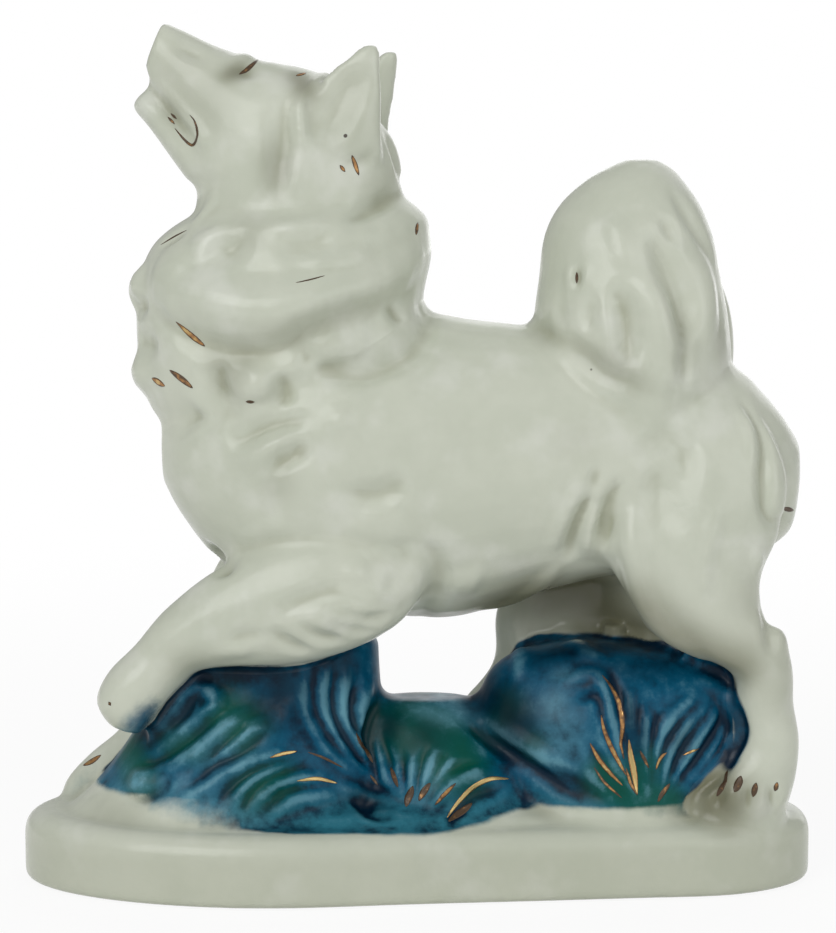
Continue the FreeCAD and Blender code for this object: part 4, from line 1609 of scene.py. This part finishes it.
@dataclass
class Tail(SubAssembly):
    """The plumed tail, curled over the back."""

    plume: Rings = (
        Ring(45.0, 79.0, 12.5, 18.0),
        Ring(43.2, 87.0, 18.6, 19.2),
        Ring(42.3, 97.0, 19.2, 18.0),
        Ring(41.9, 106.0, 17.9, 16.4),
        Ring(41.6, 114.0, 16.6, 14.4),
        Ring(41.8, 120.0, 13.9, 11.6),
        Ring(42.6, 124.6, 9.9, 8.4),
        Ring(43.6, 127.2, 6.6, 5.4),
        Ring(44.0, 129.0, 3.0, 2.6),
    )
    far_lobe: Rings = (
        Ring(50.0, 82.0, 12.0, 6.0, 90, 11.0),
        Ring(50.2, 88.0, 13.4, 7.0, 90, 11.0),
        Ring(49.8, 98.0, 13.2, 7.0, 90, 10.5),
        Ring(48.6, 107.0, 11.0, 6.5, 90, 9.0),
        Ring(47.0, 114.0, 8.0, 5.0, 90, 7.0),
    )
    leaves: Marks = (
        Mark(((36.3, 102.6), (37.5, 97.8), (37.6, 92.7)), 2.6, 0.7),
        Mark(((42.8, 107.4), (46.1, 101.6), (48.0, 94.0), (49.8, 86.3)), 4.8, 1.8),
        Mark(((53.2, 110.9), (56.0, 105.1), (56.3, 93.6)), 4.4, 1.1),
        Mark(((46.3, 90.3), (48.3, 84.2)), 2.6, 0.8),
        Mark(((33.3, 103.5), (32.9, 95.8)), 2.8, -0.7),
        Mark(((38.4, 105.5), (39.9, 98.4), (40.7, 89.3)), 4.0, -2.1),
        Mark(((44.9, 115.5), (48.7, 108.2), (51.2, 101.5), (51.4, 94.0)), 4.6, -2.5),
        Mark(((47.5, 118.3), (49.9, 112.4)), 2.6, -0.9),
        Mark(((49.5, 123.3), (52.6, 118.1), (56.0, 112.7), (57.7, 109.3)), 3.0, -1.0),
        Mark(((31.1, 108.5), (30.9, 104.9)), 1.7, -0.9),
        Mark(((29.4, 108.8), (29.4, 104.6)), 2.0, 0.4),
        Mark(((32.6, 108.9), (32.6, 104.8)), 2.0, 0.4),
        Mark(((22.6, 97.0), (30.5, 93.2), (36.1, 88.6), (41.3, 86.6), (45.9, 83.7)), 3.6, -1.3),
        Mark(((51.2, 86.5), (50.6, 94.0)), 2.6, -0.9),
        Mark(((37.6, 118.7), (39.4, 113.0), (40.5, 108.3)), 3.5, 0.7),
        Mark(((27.7, 102.2), (28.1, 95.5)), 3.0, -0.6),
    )
    gold: Marks = (
        Mark(((30.9, 107.7), (30.9, 105.5)), 0.7, 0.8),
        Mark(((71.5, 61.4), (74.0, 60.5)), 1.2, 0.9),
    )

    def castings(self) -> tuple[Casting, ...]:
        """The plume with its far lobe."""
        return (Casting("tail", (self.plume, self.far_lobe), 2.5),)


@dataclass
class Forelegs(SubAssembly):
    """The two forelegs, the near one on the front rock and the far one stepping down to the plinth."""

    left: Rings = (
        Ring(0.8, 49.5, 2.6, 2.4, 0, -14.0),
        Ring(-2.0, 48.6, 7.0, 5.2, 0, -14.6),
        Ring(-8.5, 46.8, 10.4, 7.8, -2, -15.0),
        Ring(-20.0, 45.2, 12.8, 8.8, -6, -15.2),
        Ring(-35.0, 40.6, 10.4, 8.0, -17, -14.8),
        Ring(-45.3, 36.4, 7.0, 6.8, -26, -14.2),
        Ring(-50.4, 31.2, 6.0, 6.1, -48, -14.0),
        Ring(-54.8, 26.6, 6.3, 6.3, -60, -14.0),
        Ring(-57.4, 21.8, 5.8, 5.8, -66, -14.0),
        Ring(-57.4, 18.4, 3.2, 3.4, -70, -14.0),
    )
    right: Rings = (
        Ring(-24.0, 60.0, 8.6, 5.6, -32, 10.0),
        Ring(-34.0, 45.5, 7.0, 6.0, -38, 12.0),
        Ring(-39.5, 37.0, 6.2, 5.8, -36, 13.0),
        Ring(-46.0, 26.5, 5.6, 5.6, -42, 13.0),
        Ring(-52.0, 16.5, 5.2, 5.5, -46, 13.0),
        Ring(-56.8, 9.5, 5.2, 5.6, -50, 13.0),
        Ring(-61.5, 4.6, 6.2, 6.0, -60, 13.0),
        Ring(-65.0, 0.0, 7.2, 6.2, -76, 13.0),
        Ring(-65.5, -3.5, 7.0, 6.0, -88, 13.0),
    )
    leaves: Marks = (
        Mark(((-34.3, 55.9), (-29.3, 58.3), (-24.4, 58.9)), 3.0, 0.6),
        Mark(((-11.9, 61.6), (-6.1, 58.1), (-2.3, 55.7)), 6.5, 1.1),
        Mark(((-3.5, 56.5), (0.2, 52.6), (0.2, 46.0), (-3.5, 40.5), (-7.7, 38.0)), 3.4, 0.6),
        Mark(((-10.9, 51.3), (-5.8, 50.2), (-2.5, 46.8)), 4.4, -1.3),
        Mark(((-28.6, 41.6), (-25.0, 44.0), (-18.6, 46.5), (-13.4, 47.3), (-7.7, 45.2),
              (-4.0, 42.1)), 3.2, -1.1),
        Mark(((-22.5, 39.6), (-15.7, 41.9), (-8.7, 40.8)), 5.0, 0.8),
        Mark(((-26.3, 45.7), (-24.8, 41.9)), 1.7, -0.7),
        Mark(((-23.4, 46.9), (-21.9, 43.1)), 1.7, -0.7),
        Mark(((-20.5, 47.8), (-19.0, 43.9)), 1.7, -0.7),
        Mark(((-17.5, 48.6), (-15.9, 44.6)), 1.7, -0.7),
        Mark(((-14.4, 49.0), (-13.0, 45.0)), 1.7, -0.7),
        Mark(((-39.0, 34.3), (-35.1, 35.4), (-31.0, 35.4)), 3.0, 0.6),
        Mark(((-18.4, 45.2), (-13.9, 42.4), (-8.6, 41.2), (-4.2, 42.8)), 2.8, -1.1),
        Mark(((-17.0, 42.4), (-13.0, 39.9), (-8.1, 38.6)), 2.6, -1.0),
        Mark(((-22.8, 41.2), (-19.3, 38.5), (-14.0, 36.9)), 2.6, -1.0),
        Mark(((-28.6, 39.9), (-24.7, 36.6), (-20.4, 34.6)), 2.6, -1.0),
        Mark(((-14.0, 50.4), (-8.6, 50.8), (-3.5, 48.9)), 3.2, 0.8),
        Mark(((-15.8, 48.2), (-11.0, 46.8), (-6.1, 44.9)), 2.6, 0.7),
        Mark(((-36.5, 36.8), (-32.5, 38.4), (-29.0, 38.0)), 2.4, -0.6),
    )

    def castings(self) -> tuple[Casting, ...]:
        """The left foreleg and the right one."""
        return (Casting("left_foreleg", (self.left,)), Casting("right_foreleg", (self.right,)))

    def crisp_marks(self) -> Marks:
        """The toes and claws, which each leg has of its own."""
        return self.leaves


@dataclass
class HindLegs(SubAssembly):
    """The two hind legs, the web of clay between them, and the claws of the near paw."""

    left: Rings = (
        Ring(56.0, 84.0, 7.0, 3.0, 90, -9.0),
        Ring(56.0, 76.0, 13.0, 5.8, 90, -12.0),
        Ring(55.0, 67.0, 17.0, 7.8, 90, -13.2),
        Ring(52.2, 57.0, 18.2, 8.8, 90, -13.6),
        Ring(52.7, 50.0, 14.8, 8.6, 90, -13.4),
        Ring(53.9, 45.0, 13.0, 8.2, 90, -13.2),
        Ring(55.8, 41.0, 12.6, 7.8, 90, -12.8),
        Ring(59.0, 37.2, 13.0, 7.2, 90, -12.4),
        Ring(63.4, 33.2, 9.6, 6.8, 90, -12.0),
        Ring(67.8, 29.0, 6.0, 6.3, 90, -11.6),
        Ring(68.4, 23.0, 5.6, 6.0, 90, -11.2),
        Ring(69.2, 17.0, 5.9, 5.9, 90, -11.0),
        Ring(68.2, 12.0, 6.9, 6.4, 90, -11.0),
        Ring(64.6, 7.0, 9.8, 6.8, 90, -11.0),
        Ring(63.0, 2.0, 10.0, 6.8, 90, -11.0),
        Ring(63.0, -1.0, 9.4, 6.4, 90, -11.0),
    )
    right: Rings = (
        Ring(49.0, 66.0, 18.0, 5.0, 90, 12.0),
        Ring(47.5, 58.0, 20.0, 7.4, 90, 12.5),
        Ring(43.4, 50.0, 21.8, 7.8, 90, 12.8),
        Ring(39.2, 42.6, 21.4, 7.4, 90, 13.0),
        Ring(35.0, 36.0, 19.2, 6.8, 90, 13.0),
        Ring(29.0, 30.0, 13.0, 6.2, 90, 13.0),
        Ring(25.5, 26.0, 10.4, 6.0, 90, 13.0),
        Ring(23.0, 22.5, 10.4, 5.9, 90, 13.0),
        Ring(20.0, 18.5, 10.6, 5.9, 90, 13.0),
        Ring(18.6, 12.0, 10.0, 5.9, 90, 13.0),
        Ring(17.6, 6.0, 9.4, 6.2, 90, 13.0),
        Ring(16.6, -1.0, 9.0, 6.2, 90, 13.0),
    )
    web: Rings = (
        Ring(33.0, 44.0, 8.0, 2.5, 0, 11.0),
        Ring(40.0, 44.5, 10.0, 6.0, 0, 8.0),
        Ring(46.0, 44.5, 10.5, 8.0, 0, 4.0),
        Ring(52.0, 42.0, 9.5, 9.0, 0, 0.0),
        Ring(57.0, 38.5, 7.0, 8.5, 0, -2.5),
        Ring(61.0, 35.5, 4.5, 7.0, 0, -4.0),
    )
    fur: Marks = (
        Mark(((42.5, 70.1), (44.4, 73.9), (48.3, 75.8), (51.3, 72.1), (52.2, 64.6)), 4.2, -0.9),
        Mark(((48.2, 71.1), (47.1, 64.5), (45.7, 56.8)), 9.0, -1.0),
        Mark(((37.0, 62.9), (39.1, 67.4)), 2.2, -1.0),
        Mark(((39.1, 68.8), (36.7, 61.7), (35.9, 54.2)), 2.4, -1.3),
        Mark(((33.1, 66.3), (34.8, 70.9)), 2.2, -0.7),
        Mark(((28.8, 51.2), (30.9, 59.3), (33.5, 66.7)), 2.4, -1.2),
        Mark(((34.0, 71.5), (28.5, 60.3), (26.0, 53.7)), 2.8, 0.7),
        Mark(((34.6, 63.3), (32.9, 57.5), (33.4, 52.0)), 2.2, 1.0),
        Mark(((43.8, 71.5), (41.8, 59.6), (42.4, 48.8), (45.1, 42.3), (50.1, 36.5),
              (57.6, 30.9)), 4.4, 1.1),
        Mark(((58.3, 64.6), (56.8, 58.8), (55.2, 51.6), (55.9, 45.0)), 2.6, 0.6),
        Mark(((63.0, 83.0), (66.5, 76.6), (67.2, 68.2), (67.6, 62.0), (69.8, 59.7),
              (73.5, 59.4)), 2.6, -1.4),
        Mark(((63.0, 81.4), (65.3, 75.7), (65.4, 70.1)), 3.0, 0.8),
        Mark(((65.6, 55.3), (66.0, 49.7)), 2.2, 0.7),
        Mark(((66.6, 42.9), (68.7, 39.8), (69.0, 33.9)), 3.2, -1.0),
    )
    far_fur: Marks = (
        Mark(((19.2, 39.0), (20.6, 32.1), (19.2, 26.3)), 2.6, 0.6),
        Mark(((28.0, 35.6), (32.5, 32.8), (36.9, 31.1)), 3.2, 0.7),
    )
    leaves: Marks = (
        Mark(((62.1, 5.4),), 4.2, 1.0, Taper.NONE),
        Mark(((67.0, 4.5),), 4.2, 1.0, Taper.NONE),
        Mark(((71.1, 5.3),), 3.8, 0.9, Taper.NONE),
        Mark(((64.6, 7.7), (64.8, 3.4)), 2.0, -0.9),
        Mark(((69.2, 7.2), (69.3, 3.5)), 2.0, -0.8),
        Mark(((59.6, 7.1), (58.9, 3.6)), 2.2, -0.8),
    )
    gold: Marks = (
        Mark(((61.0, 9.9), (60.0, 7.9), (58.7, 5.4)), 1.4, 0.9),
        Mark(((63.3, 9.6), (62.7, 8.1), (61.9, 6.7)), 2.0, 0.85),
        Mark(((66.2, 8.4), (65.6, 5.6)), 1.5, 0.8),
        Mark(((70.4, 8.3), (70.0, 6.5)), 1.2, 0.8),
        Mark(((-68.0, 5.8), (-65.9, 7.0), (-64.2, 8.2)), 1.7, 0.5),
        Mark(((-59.8, 24.7), (-59.4, 24.0)), 1.0, 0.8),
    )
    paw_shift: float = -46.4

    def castings(self) -> tuple[Casting, ...]:
        """The left hind leg, and the right one with the web."""
        return (Casting("left_hind_leg", (self.left,)), Casting("right_hind_leg", (self.right, self.web)))

    def soft_marks(self) -> Marks:
        """The haunches' fur, with what shows of the far leg between them."""
        return (*super().soft_marks(), *self.far_fur)

    def crisp_marks(self) -> Marks:
        """The claws of the near paw, and of the far one, which stands further forward."""
        return (*self.leaves, *mirrored(self.leaves, self.paw_shift))


@dataclass
class Torso(SubAssembly):
    """The dog's trunk, which is what the other castings leave of the lump."""

    trunk: Rings = (
        Ring(-50.2, 72.8, 7.0, 6.0, 0),
        Ring(-46.2, 72.5, 14.0, 12.5, 0),
        Ring(-38.4, 71.0, 21.8, 17.5, 0),
        Ring(-24.0, 70.6, 30.0, 21.8, 0),
        Ring(-6.0, 70.2, 31.4, 22.5, 0),
        Ring(8.0, 68.3, 29.8, 22.2, 0),
        Ring(23.0, 69.6, 26.6, 21.0, 0),
        Ring(40.0, 69.8, 22.8, 20.0, 0),
        Ring(56.0, 69.5, 21.2, 18.6, 0),
        Ring(64.0, 68.6, 18.8, 16.0, 0),
        Ring(68.0, 67.5, 16.0, 13.5, 0),
        Ring(71.8, 66.4, 12.8, 10.5, 0),
        Ring(74.4, 66.0, 9.2, 7.5, 0),
        Ring(75.6, 68.5, 4.6, 4.0, 0),
    )
    fur: Marks = (
        Mark(((-36.0, 77.2), (-33.4, 75.8), (-28.2, 78.3), (-20.7, 80.6)), 3.2, -1.1),
        Mark(((-28.2, 70.4), (-24.9, 72.8), (-20.5, 75.0)), 3.2, -1.3),
        Mark(((-13.8, 66.7), (-9.0, 65.2), (-4.6, 66.8), (-3.8, 70.4)), 3.8, -1.1),
        Mark(((-14.7, 79.9),), 4.0, 0.8, Taper.NONE),
        Mark(((-35.0, 71.9), (-29.7, 74.0), (-22.4, 77.6)), 4.5, 0.8),
        Mark(((-40.6, 53.8), (-38.4, 50.8), (-35.4, 50.6)), 3.6, -1.3),
        Mark(((1.5, 57.0), (4.0, 51.5), (3.6, 45.0), (0.5, 38.0)), 3.6, -0.9),
        Mark(((9.6, 44.4), (10.9, 48.2), (11.8, 51.4)), 2.4, 0.6),
        Mark(((6.5, 43.9), (8.0, 47.2), (9.1, 50.4)), 2.4, 0.5),
        Mark(((12.4, 40.7), (18.4, 42.1), (24.1, 46.2), (28.2, 51.2)), 3.2, 0.7),
    )

    def castings(self) -> tuple[Casting, ...]:
        """The trunk."""
        return (Casting("torso", (self.trunk,), 4.0),)

    def build(self, clay: bpy.types.Object) -> None:
        """Cut nothing, because the trunk is what is left of the lump."""


# ---------------------------------------------------------------- the lump


@dataclass
class Figurine:
    """The whole figurine, made as one lump of clay that is tooled, painted and then parted.

    Attributes:
        parts: Its sub-assemblies, in the order in which they are parted.
        seam: How much clay fills the inner corners between the masses.
        fur_depth: How deep the locks of fur are, to the depths in their tables.
        clay: The lump, and when it has been parted, what is left of it.
        plain: The places of the lump's points before they were tooled.
    """

    parts: tuple[SubAssembly, ...]
    seam: float = 1.6
    fur_depth: float = 1.5
    clay: bpy.types.Object | None = field(default=None, init=False)
    plain: np.ndarray | None = field(default=None, init=False)

    def build(self) -> None:
        """Press every mass, fill the seams and tool the skin."""
        self.clay = join([mass for portion in self.parts for mass in portion.press()], "clay")
        knead(self.clay)
        self.fill_seams()
        self.tool()
        LOG.info("clay: %d points", len(self.clay.data.vertices))

    def fill_seams(self) -> None:
        """Fill the inner corners between masses, and soften the outer ones."""
        for thickness, passes in ((self.seam, 2), (-self.seam, 5)):
            swell(self.clay, thickness)
            knead(self.clay)
            rub(self.clay, passes)

    def tool(self) -> None:
        """Work the soft locks of fur and the crisp leaves into the skin."""
        self.plain = places(self.clay)
        facing = normals(self.clay)
        skin = skin_of(self.clay)
        fur = [mark for portion in self.parts for mark in portion.soft_marks()]
        leaves = [mark for portion in self.parts for mark in portion.crisp_marks()]
        height = soften(self.clay, relief_of(self.plain, facing, skin, fur), 4) * self.fur_depth
        height += soften(self.clay, relief_of(self.plain, facing, skin, leaves), 1)
        move_to(self.clay, self.plain + facing * height[:, None])
        rub(self.clay, 1)

    def paint(self, colours: Underglaze) -> None:
        """Brush the underglaze on the lump.

        Args:
            colours: Where each colour goes.
        """
        white = [portion for portion in self.parts if portion.finish == "white_glaze"]
        castings = [casting for portion in white for casting in portion.castings()]
        dog = join([mass for casting in castings for mass in casting.press()], "dog")
        colours.store(self.clay, self.plain, skin_of(dog))
        discard(dog)

    def part_castings(self, glazes: dict[str, bpy.types.Material]) -> None:
        """Part the lump into its castings and dress each one.

        Args:
            glazes: The glaze of each slot.
        """
        whole = copy_of(self.clay, "whole")
        paint = PaintMap(whole)
        for portion in self.parts:
            portion.build(self.clay)
        *others, torso = self.parts
        castings = [piece for portion in others for piece in portion.pieces.values()]
        torso.pieces["torso"] = take_crumbs(self.clay, castings)
        for portion in self.parts:
            portion.dress(glazes[portion.finish], paint, whole)
        discard(whole)


# ---------------------------------------------------------------- gold


@dataclass
class GoldWork:
    """Thin strokes of gold laid on the glaze with a pointed brush.

    Attributes:
        name: The piece's name.
        strokes: Its strokes, whose heights say how worn they are, from 0 to 1.
        proud: How far the gold stands off the glaze.
        across: How many faces wide a stroke is.
        spacing: The length of a stroke's faces.
        piece: All the strokes once they are laid.
    """

    name: str
    strokes: Marks
    proud: float = 0.05
    across: int = 4
    spacing: float = 0.35
    piece: bpy.types.Object | None = field(default=None, init=False)

    def build(self, clay: bpy.types.Object, skin: BVHTree) -> None:
        """Lay every stroke on the skin.

        Args:
            clay: The tooled lump.
            skin: Its skin.
        """
        laid = [self.stroke(skin, mark) for mark in self.strokes]
        self.piece = join([stroke for stroke in laid if stroke], self.name)
        finish_with(self.piece, "SHRINKWRAP", target=clay, wrap_method="NEAREST_SURFACEPOINT",
                    wrap_mode="ABOVE_SURFACE", offset=self.proud * MM)
        finish_with(self.piece, "SOLIDIFY", thickness=self.proud * 1.6 * MM, offset=-1.0)

    def dress(self, finish: bpy.types.Material) -> None:
        """Give the strokes their lustre.

        Args:
            finish: The lustre.
        """
        self.piece.data.materials.clear()
        self.piece.data.materials.append(finish)
        self.piece.data.shade_smooth()
        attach(self.piece, "root")
        LOG.info("%s: %d faces", self.piece.name, len(self.piece.data.polygons))

    def stroke(self, skin: BVHTree, mark: Mark) -> bpy.types.Object | None:
        """Cut one pointed strip and bend it along its line.

        Args:
            skin: The lump's skin.
            mark: The stroke.

        Returns:
            The strip, or None where its line misses the skin.
        """
        line = lay_points(skin, mark, self.spacing)[:, :3]
        if len(line) < 3:
            LOG.warning("gold from %s misses the clay", mark.points[0])
            return None
        deselect()
        bpy.ops.mesh.primitive_grid_add(x_subdivisions=len(line) - 1, y_subdivisions=self.across, size=2.0)
        strip = bpy.context.object
        steps = len(line) - 1
        ahead = np.gradient(line, axis=0)
        worn = []
        for corner in strip.data.vertices:
            share = (corner.co.x + 1) / 2
            step = round(share * steps)
            facing = np.array(skin.find_nearest(Vector(line[step]))[1])
            aside = np.cross(facing, ahead[step])
            aside = aside / (np.linalg.norm(aside) + 1e-9)
            half = mark.width / 2.4 * (0.12 + 0.88 * math.sin(math.pi * share) ** 0.7)
            spot = line[step] + aside * half * corner.co.y + facing * 0.1
            worn.append(min(mark.height * 0.9 + 0.55 * corner.co.y**4 + 0.3 * abs(2 * share - 1) ** 4, 1))
            corner.co = (Vector(spot) + Vector((0, 0, PLINTH_TOP))) * MM
        add_field(strip, "worn", np.array(worn))
        return strip


# ---------------------------------------------------------------- studio


class Lamp(NamedTuple):
    """A square soft lamp that points at the figurine, with its place in metres, its size and its power."""

    name: str
    place: tuple[float, float, float]
    size: float
    power: float


@dataclass
class Studio:
    """The camera, the pale floor and the soft light.

    Attributes:
        camera_at: The camera's place, in metres.
        aim: What it looks at.
        lens: Its focal length, in millimetres.
        lamp_aim: What the lamps point at.
        sky: The strength of the light from all round.
        lamps: The lamps.
    """

    camera_at: tuple[float, float, float] = (0.00022, -0.650, 0.161)
    aim: tuple[float, float, float] = (0.00022, 0.0, 0.0824)
    lens: float = 127.45
    lamp_aim: tuple[float, float, float] = (0.0, 0.0, 0.08)
    sky: float = 0.38
    lamps: tuple[Lamp, ...] = (
        Lamp("key", (-0.8, -1.3, 1.0), 1.1, 13.5),
        Lamp("fill", (1.0, -1.2, 0.6), 1.1, 5.5),
        Lamp("top", (0.1, 0.1, 1.4), 1.2, 1.0),
        Lamp("back", (0.4, 1.2, 0.6), 1.2, 5.0),
    )

    def build(self) -> None:
        """Stand the camera to the dog's left, lay the floor and hang the lamps."""
        bpy.ops.object.camera_add(location=self.camera_at)
        camera = bpy.context.object
        camera.name = "camera"
        camera.data.lens = self.lens
        camera.data.sensor_width = 36.0
        self.point(camera, self.aim)
        bpy.context.scene.camera = camera
        bpy.ops.mesh.primitive_plane_add(size=12.0, location=(0, 0, -0.0001))
        self.floor = bpy.context.object
        self.floor.name = "floor"
        for lamp in self.lamps:
            bpy.ops.object.light_add(type="AREA", location=lamp.place)
            light = bpy.context.object
            light.name = lamp.name
            light.data.size = lamp.size
            light.data.energy = lamp.power
            self.point(light, self.lamp_aim)

    @staticmethod
    def point(item: bpy.types.Object, target: tuple[float, float, float]) -> None:
        """Turn a camera or a lamp to point at a place."""
        item.rotation_euler = (Vector(target) - item.location).to_track_quat("-Z", "Y").to_euler()

    def dress(self) -> None:
        """Give the floor and the world their white, and show colours as they are written."""
        nodes = Nodes("studio_floor")
        nodes.shader.inputs["Base Color"].default_value = (0.92, 0.92, 0.91, 1)
        nodes.shader.inputs["Roughness"].default_value = 0.9
        reach = nodes.add("VectorMath", operation="LENGTH")
        nodes.plug(nodes.place(), reach.inputs[0])
        share = nodes.ramp(reach.outputs["Value"], 0.12, 0.5, 0.9, 1.0)
        self.show_white(nodes, share)
        self.floor.data.materials.append(nodes.material)
        self.light_world()
        bpy.context.scene.view_settings.view_transform = "Standard"

    @staticmethod
    def show_white(nodes: Nodes, share: object) -> None:
        """Let the camera and reflections see plain white mixed over the floor, which still takes its shadow.

        Args:
            nodes: The floor's nodes.
            share: How much of what they see is plain white.
        """
        path = nodes.add("LightPath")
        seen = nodes.sum("MAXIMUM", path.outputs["Is Camera Ray"], path.outputs["Is Glossy Ray"])
        seen = nodes.sum("MAXIMUM", seen, path.outputs["Is Transmission Ray"])
        white = nodes.add("Emission")
        white.inputs["Color"].default_value = (1, 1, 1, 1)
        blend = nodes.add("MixShader")
        nodes.plug(nodes.sum("MULTIPLY", seen, share), blend.inputs["Fac"])
        nodes.tree.links.new(nodes.shader.outputs[0], blend.inputs[1])
        nodes.tree.links.new(white.outputs[0], blend.inputs[2])
        nodes.tree.links.new(blend.outputs[0], nodes.tree.nodes["Material Output"].inputs["Surface"])

    def light_world(self) -> None:
        """Light from all round at a low strength, which the camera sees as plain white."""
        world = bpy.context.scene.world or bpy.data.worlds.new("studio")
        bpy.context.scene.world = world
        world.use_nodes = True
        tree = world.node_tree
        sky = tree.nodes["Background"]
        sky.inputs["Color"].default_value = (1, 1, 1, 1)
        path = tree.nodes.new("ShaderNodeLightPath")
        seen = tree.nodes.new("ShaderNodeMath")
        seen.operation = "MAXIMUM"
        tree.links.new(path.outputs["Is Camera Ray"], seen.inputs[0])
        tree.links.new(path.outputs["Is Transmission Ray"], seen.inputs[1])
        strength = tree.nodes.new("ShaderNodeMapRange")
        strength.inputs["To Min"].default_value = self.sky
        strength.inputs["To Max"].default_value = 1.0
        tree.links.new(seen.outputs[0], strength.inputs["Value"])
        tree.links.new(strength.outputs[0], sky.inputs["Strength"])


def main() -> None:
    """Build the figurine piece by piece."""
    logging.basicConfig(level=logging.INFO, format="%(name)s: %(message)s")
    figurine = Figurine((Plinth(), Head(), Mane(), Tail(), Forelegs(), HindLegs(), Rocks(), Torso()))
    figurine.build()
    figurine.paint(Underglaze())
    skin = skin_of(figurine.clay)
    lustre = GoldLustre().mix()
    for portion in figurine.parts:
        if portion.gold:
            work = GoldWork(f"gold_on_{type(portion).__name__.lower()}", portion.gold)
            work.build(figurine.clay, skin)
            work.dress(lustre)
    figurine.part_castings({
        "white_glaze": Glaze("white_glaze").mix(),
        "blue_glaze": Glaze("blue_glaze", shine=0.14).mix(),
    })
    studio = Studio()
    studio.build()
    studio.dress()


if __name__ == "__main__":
    main()
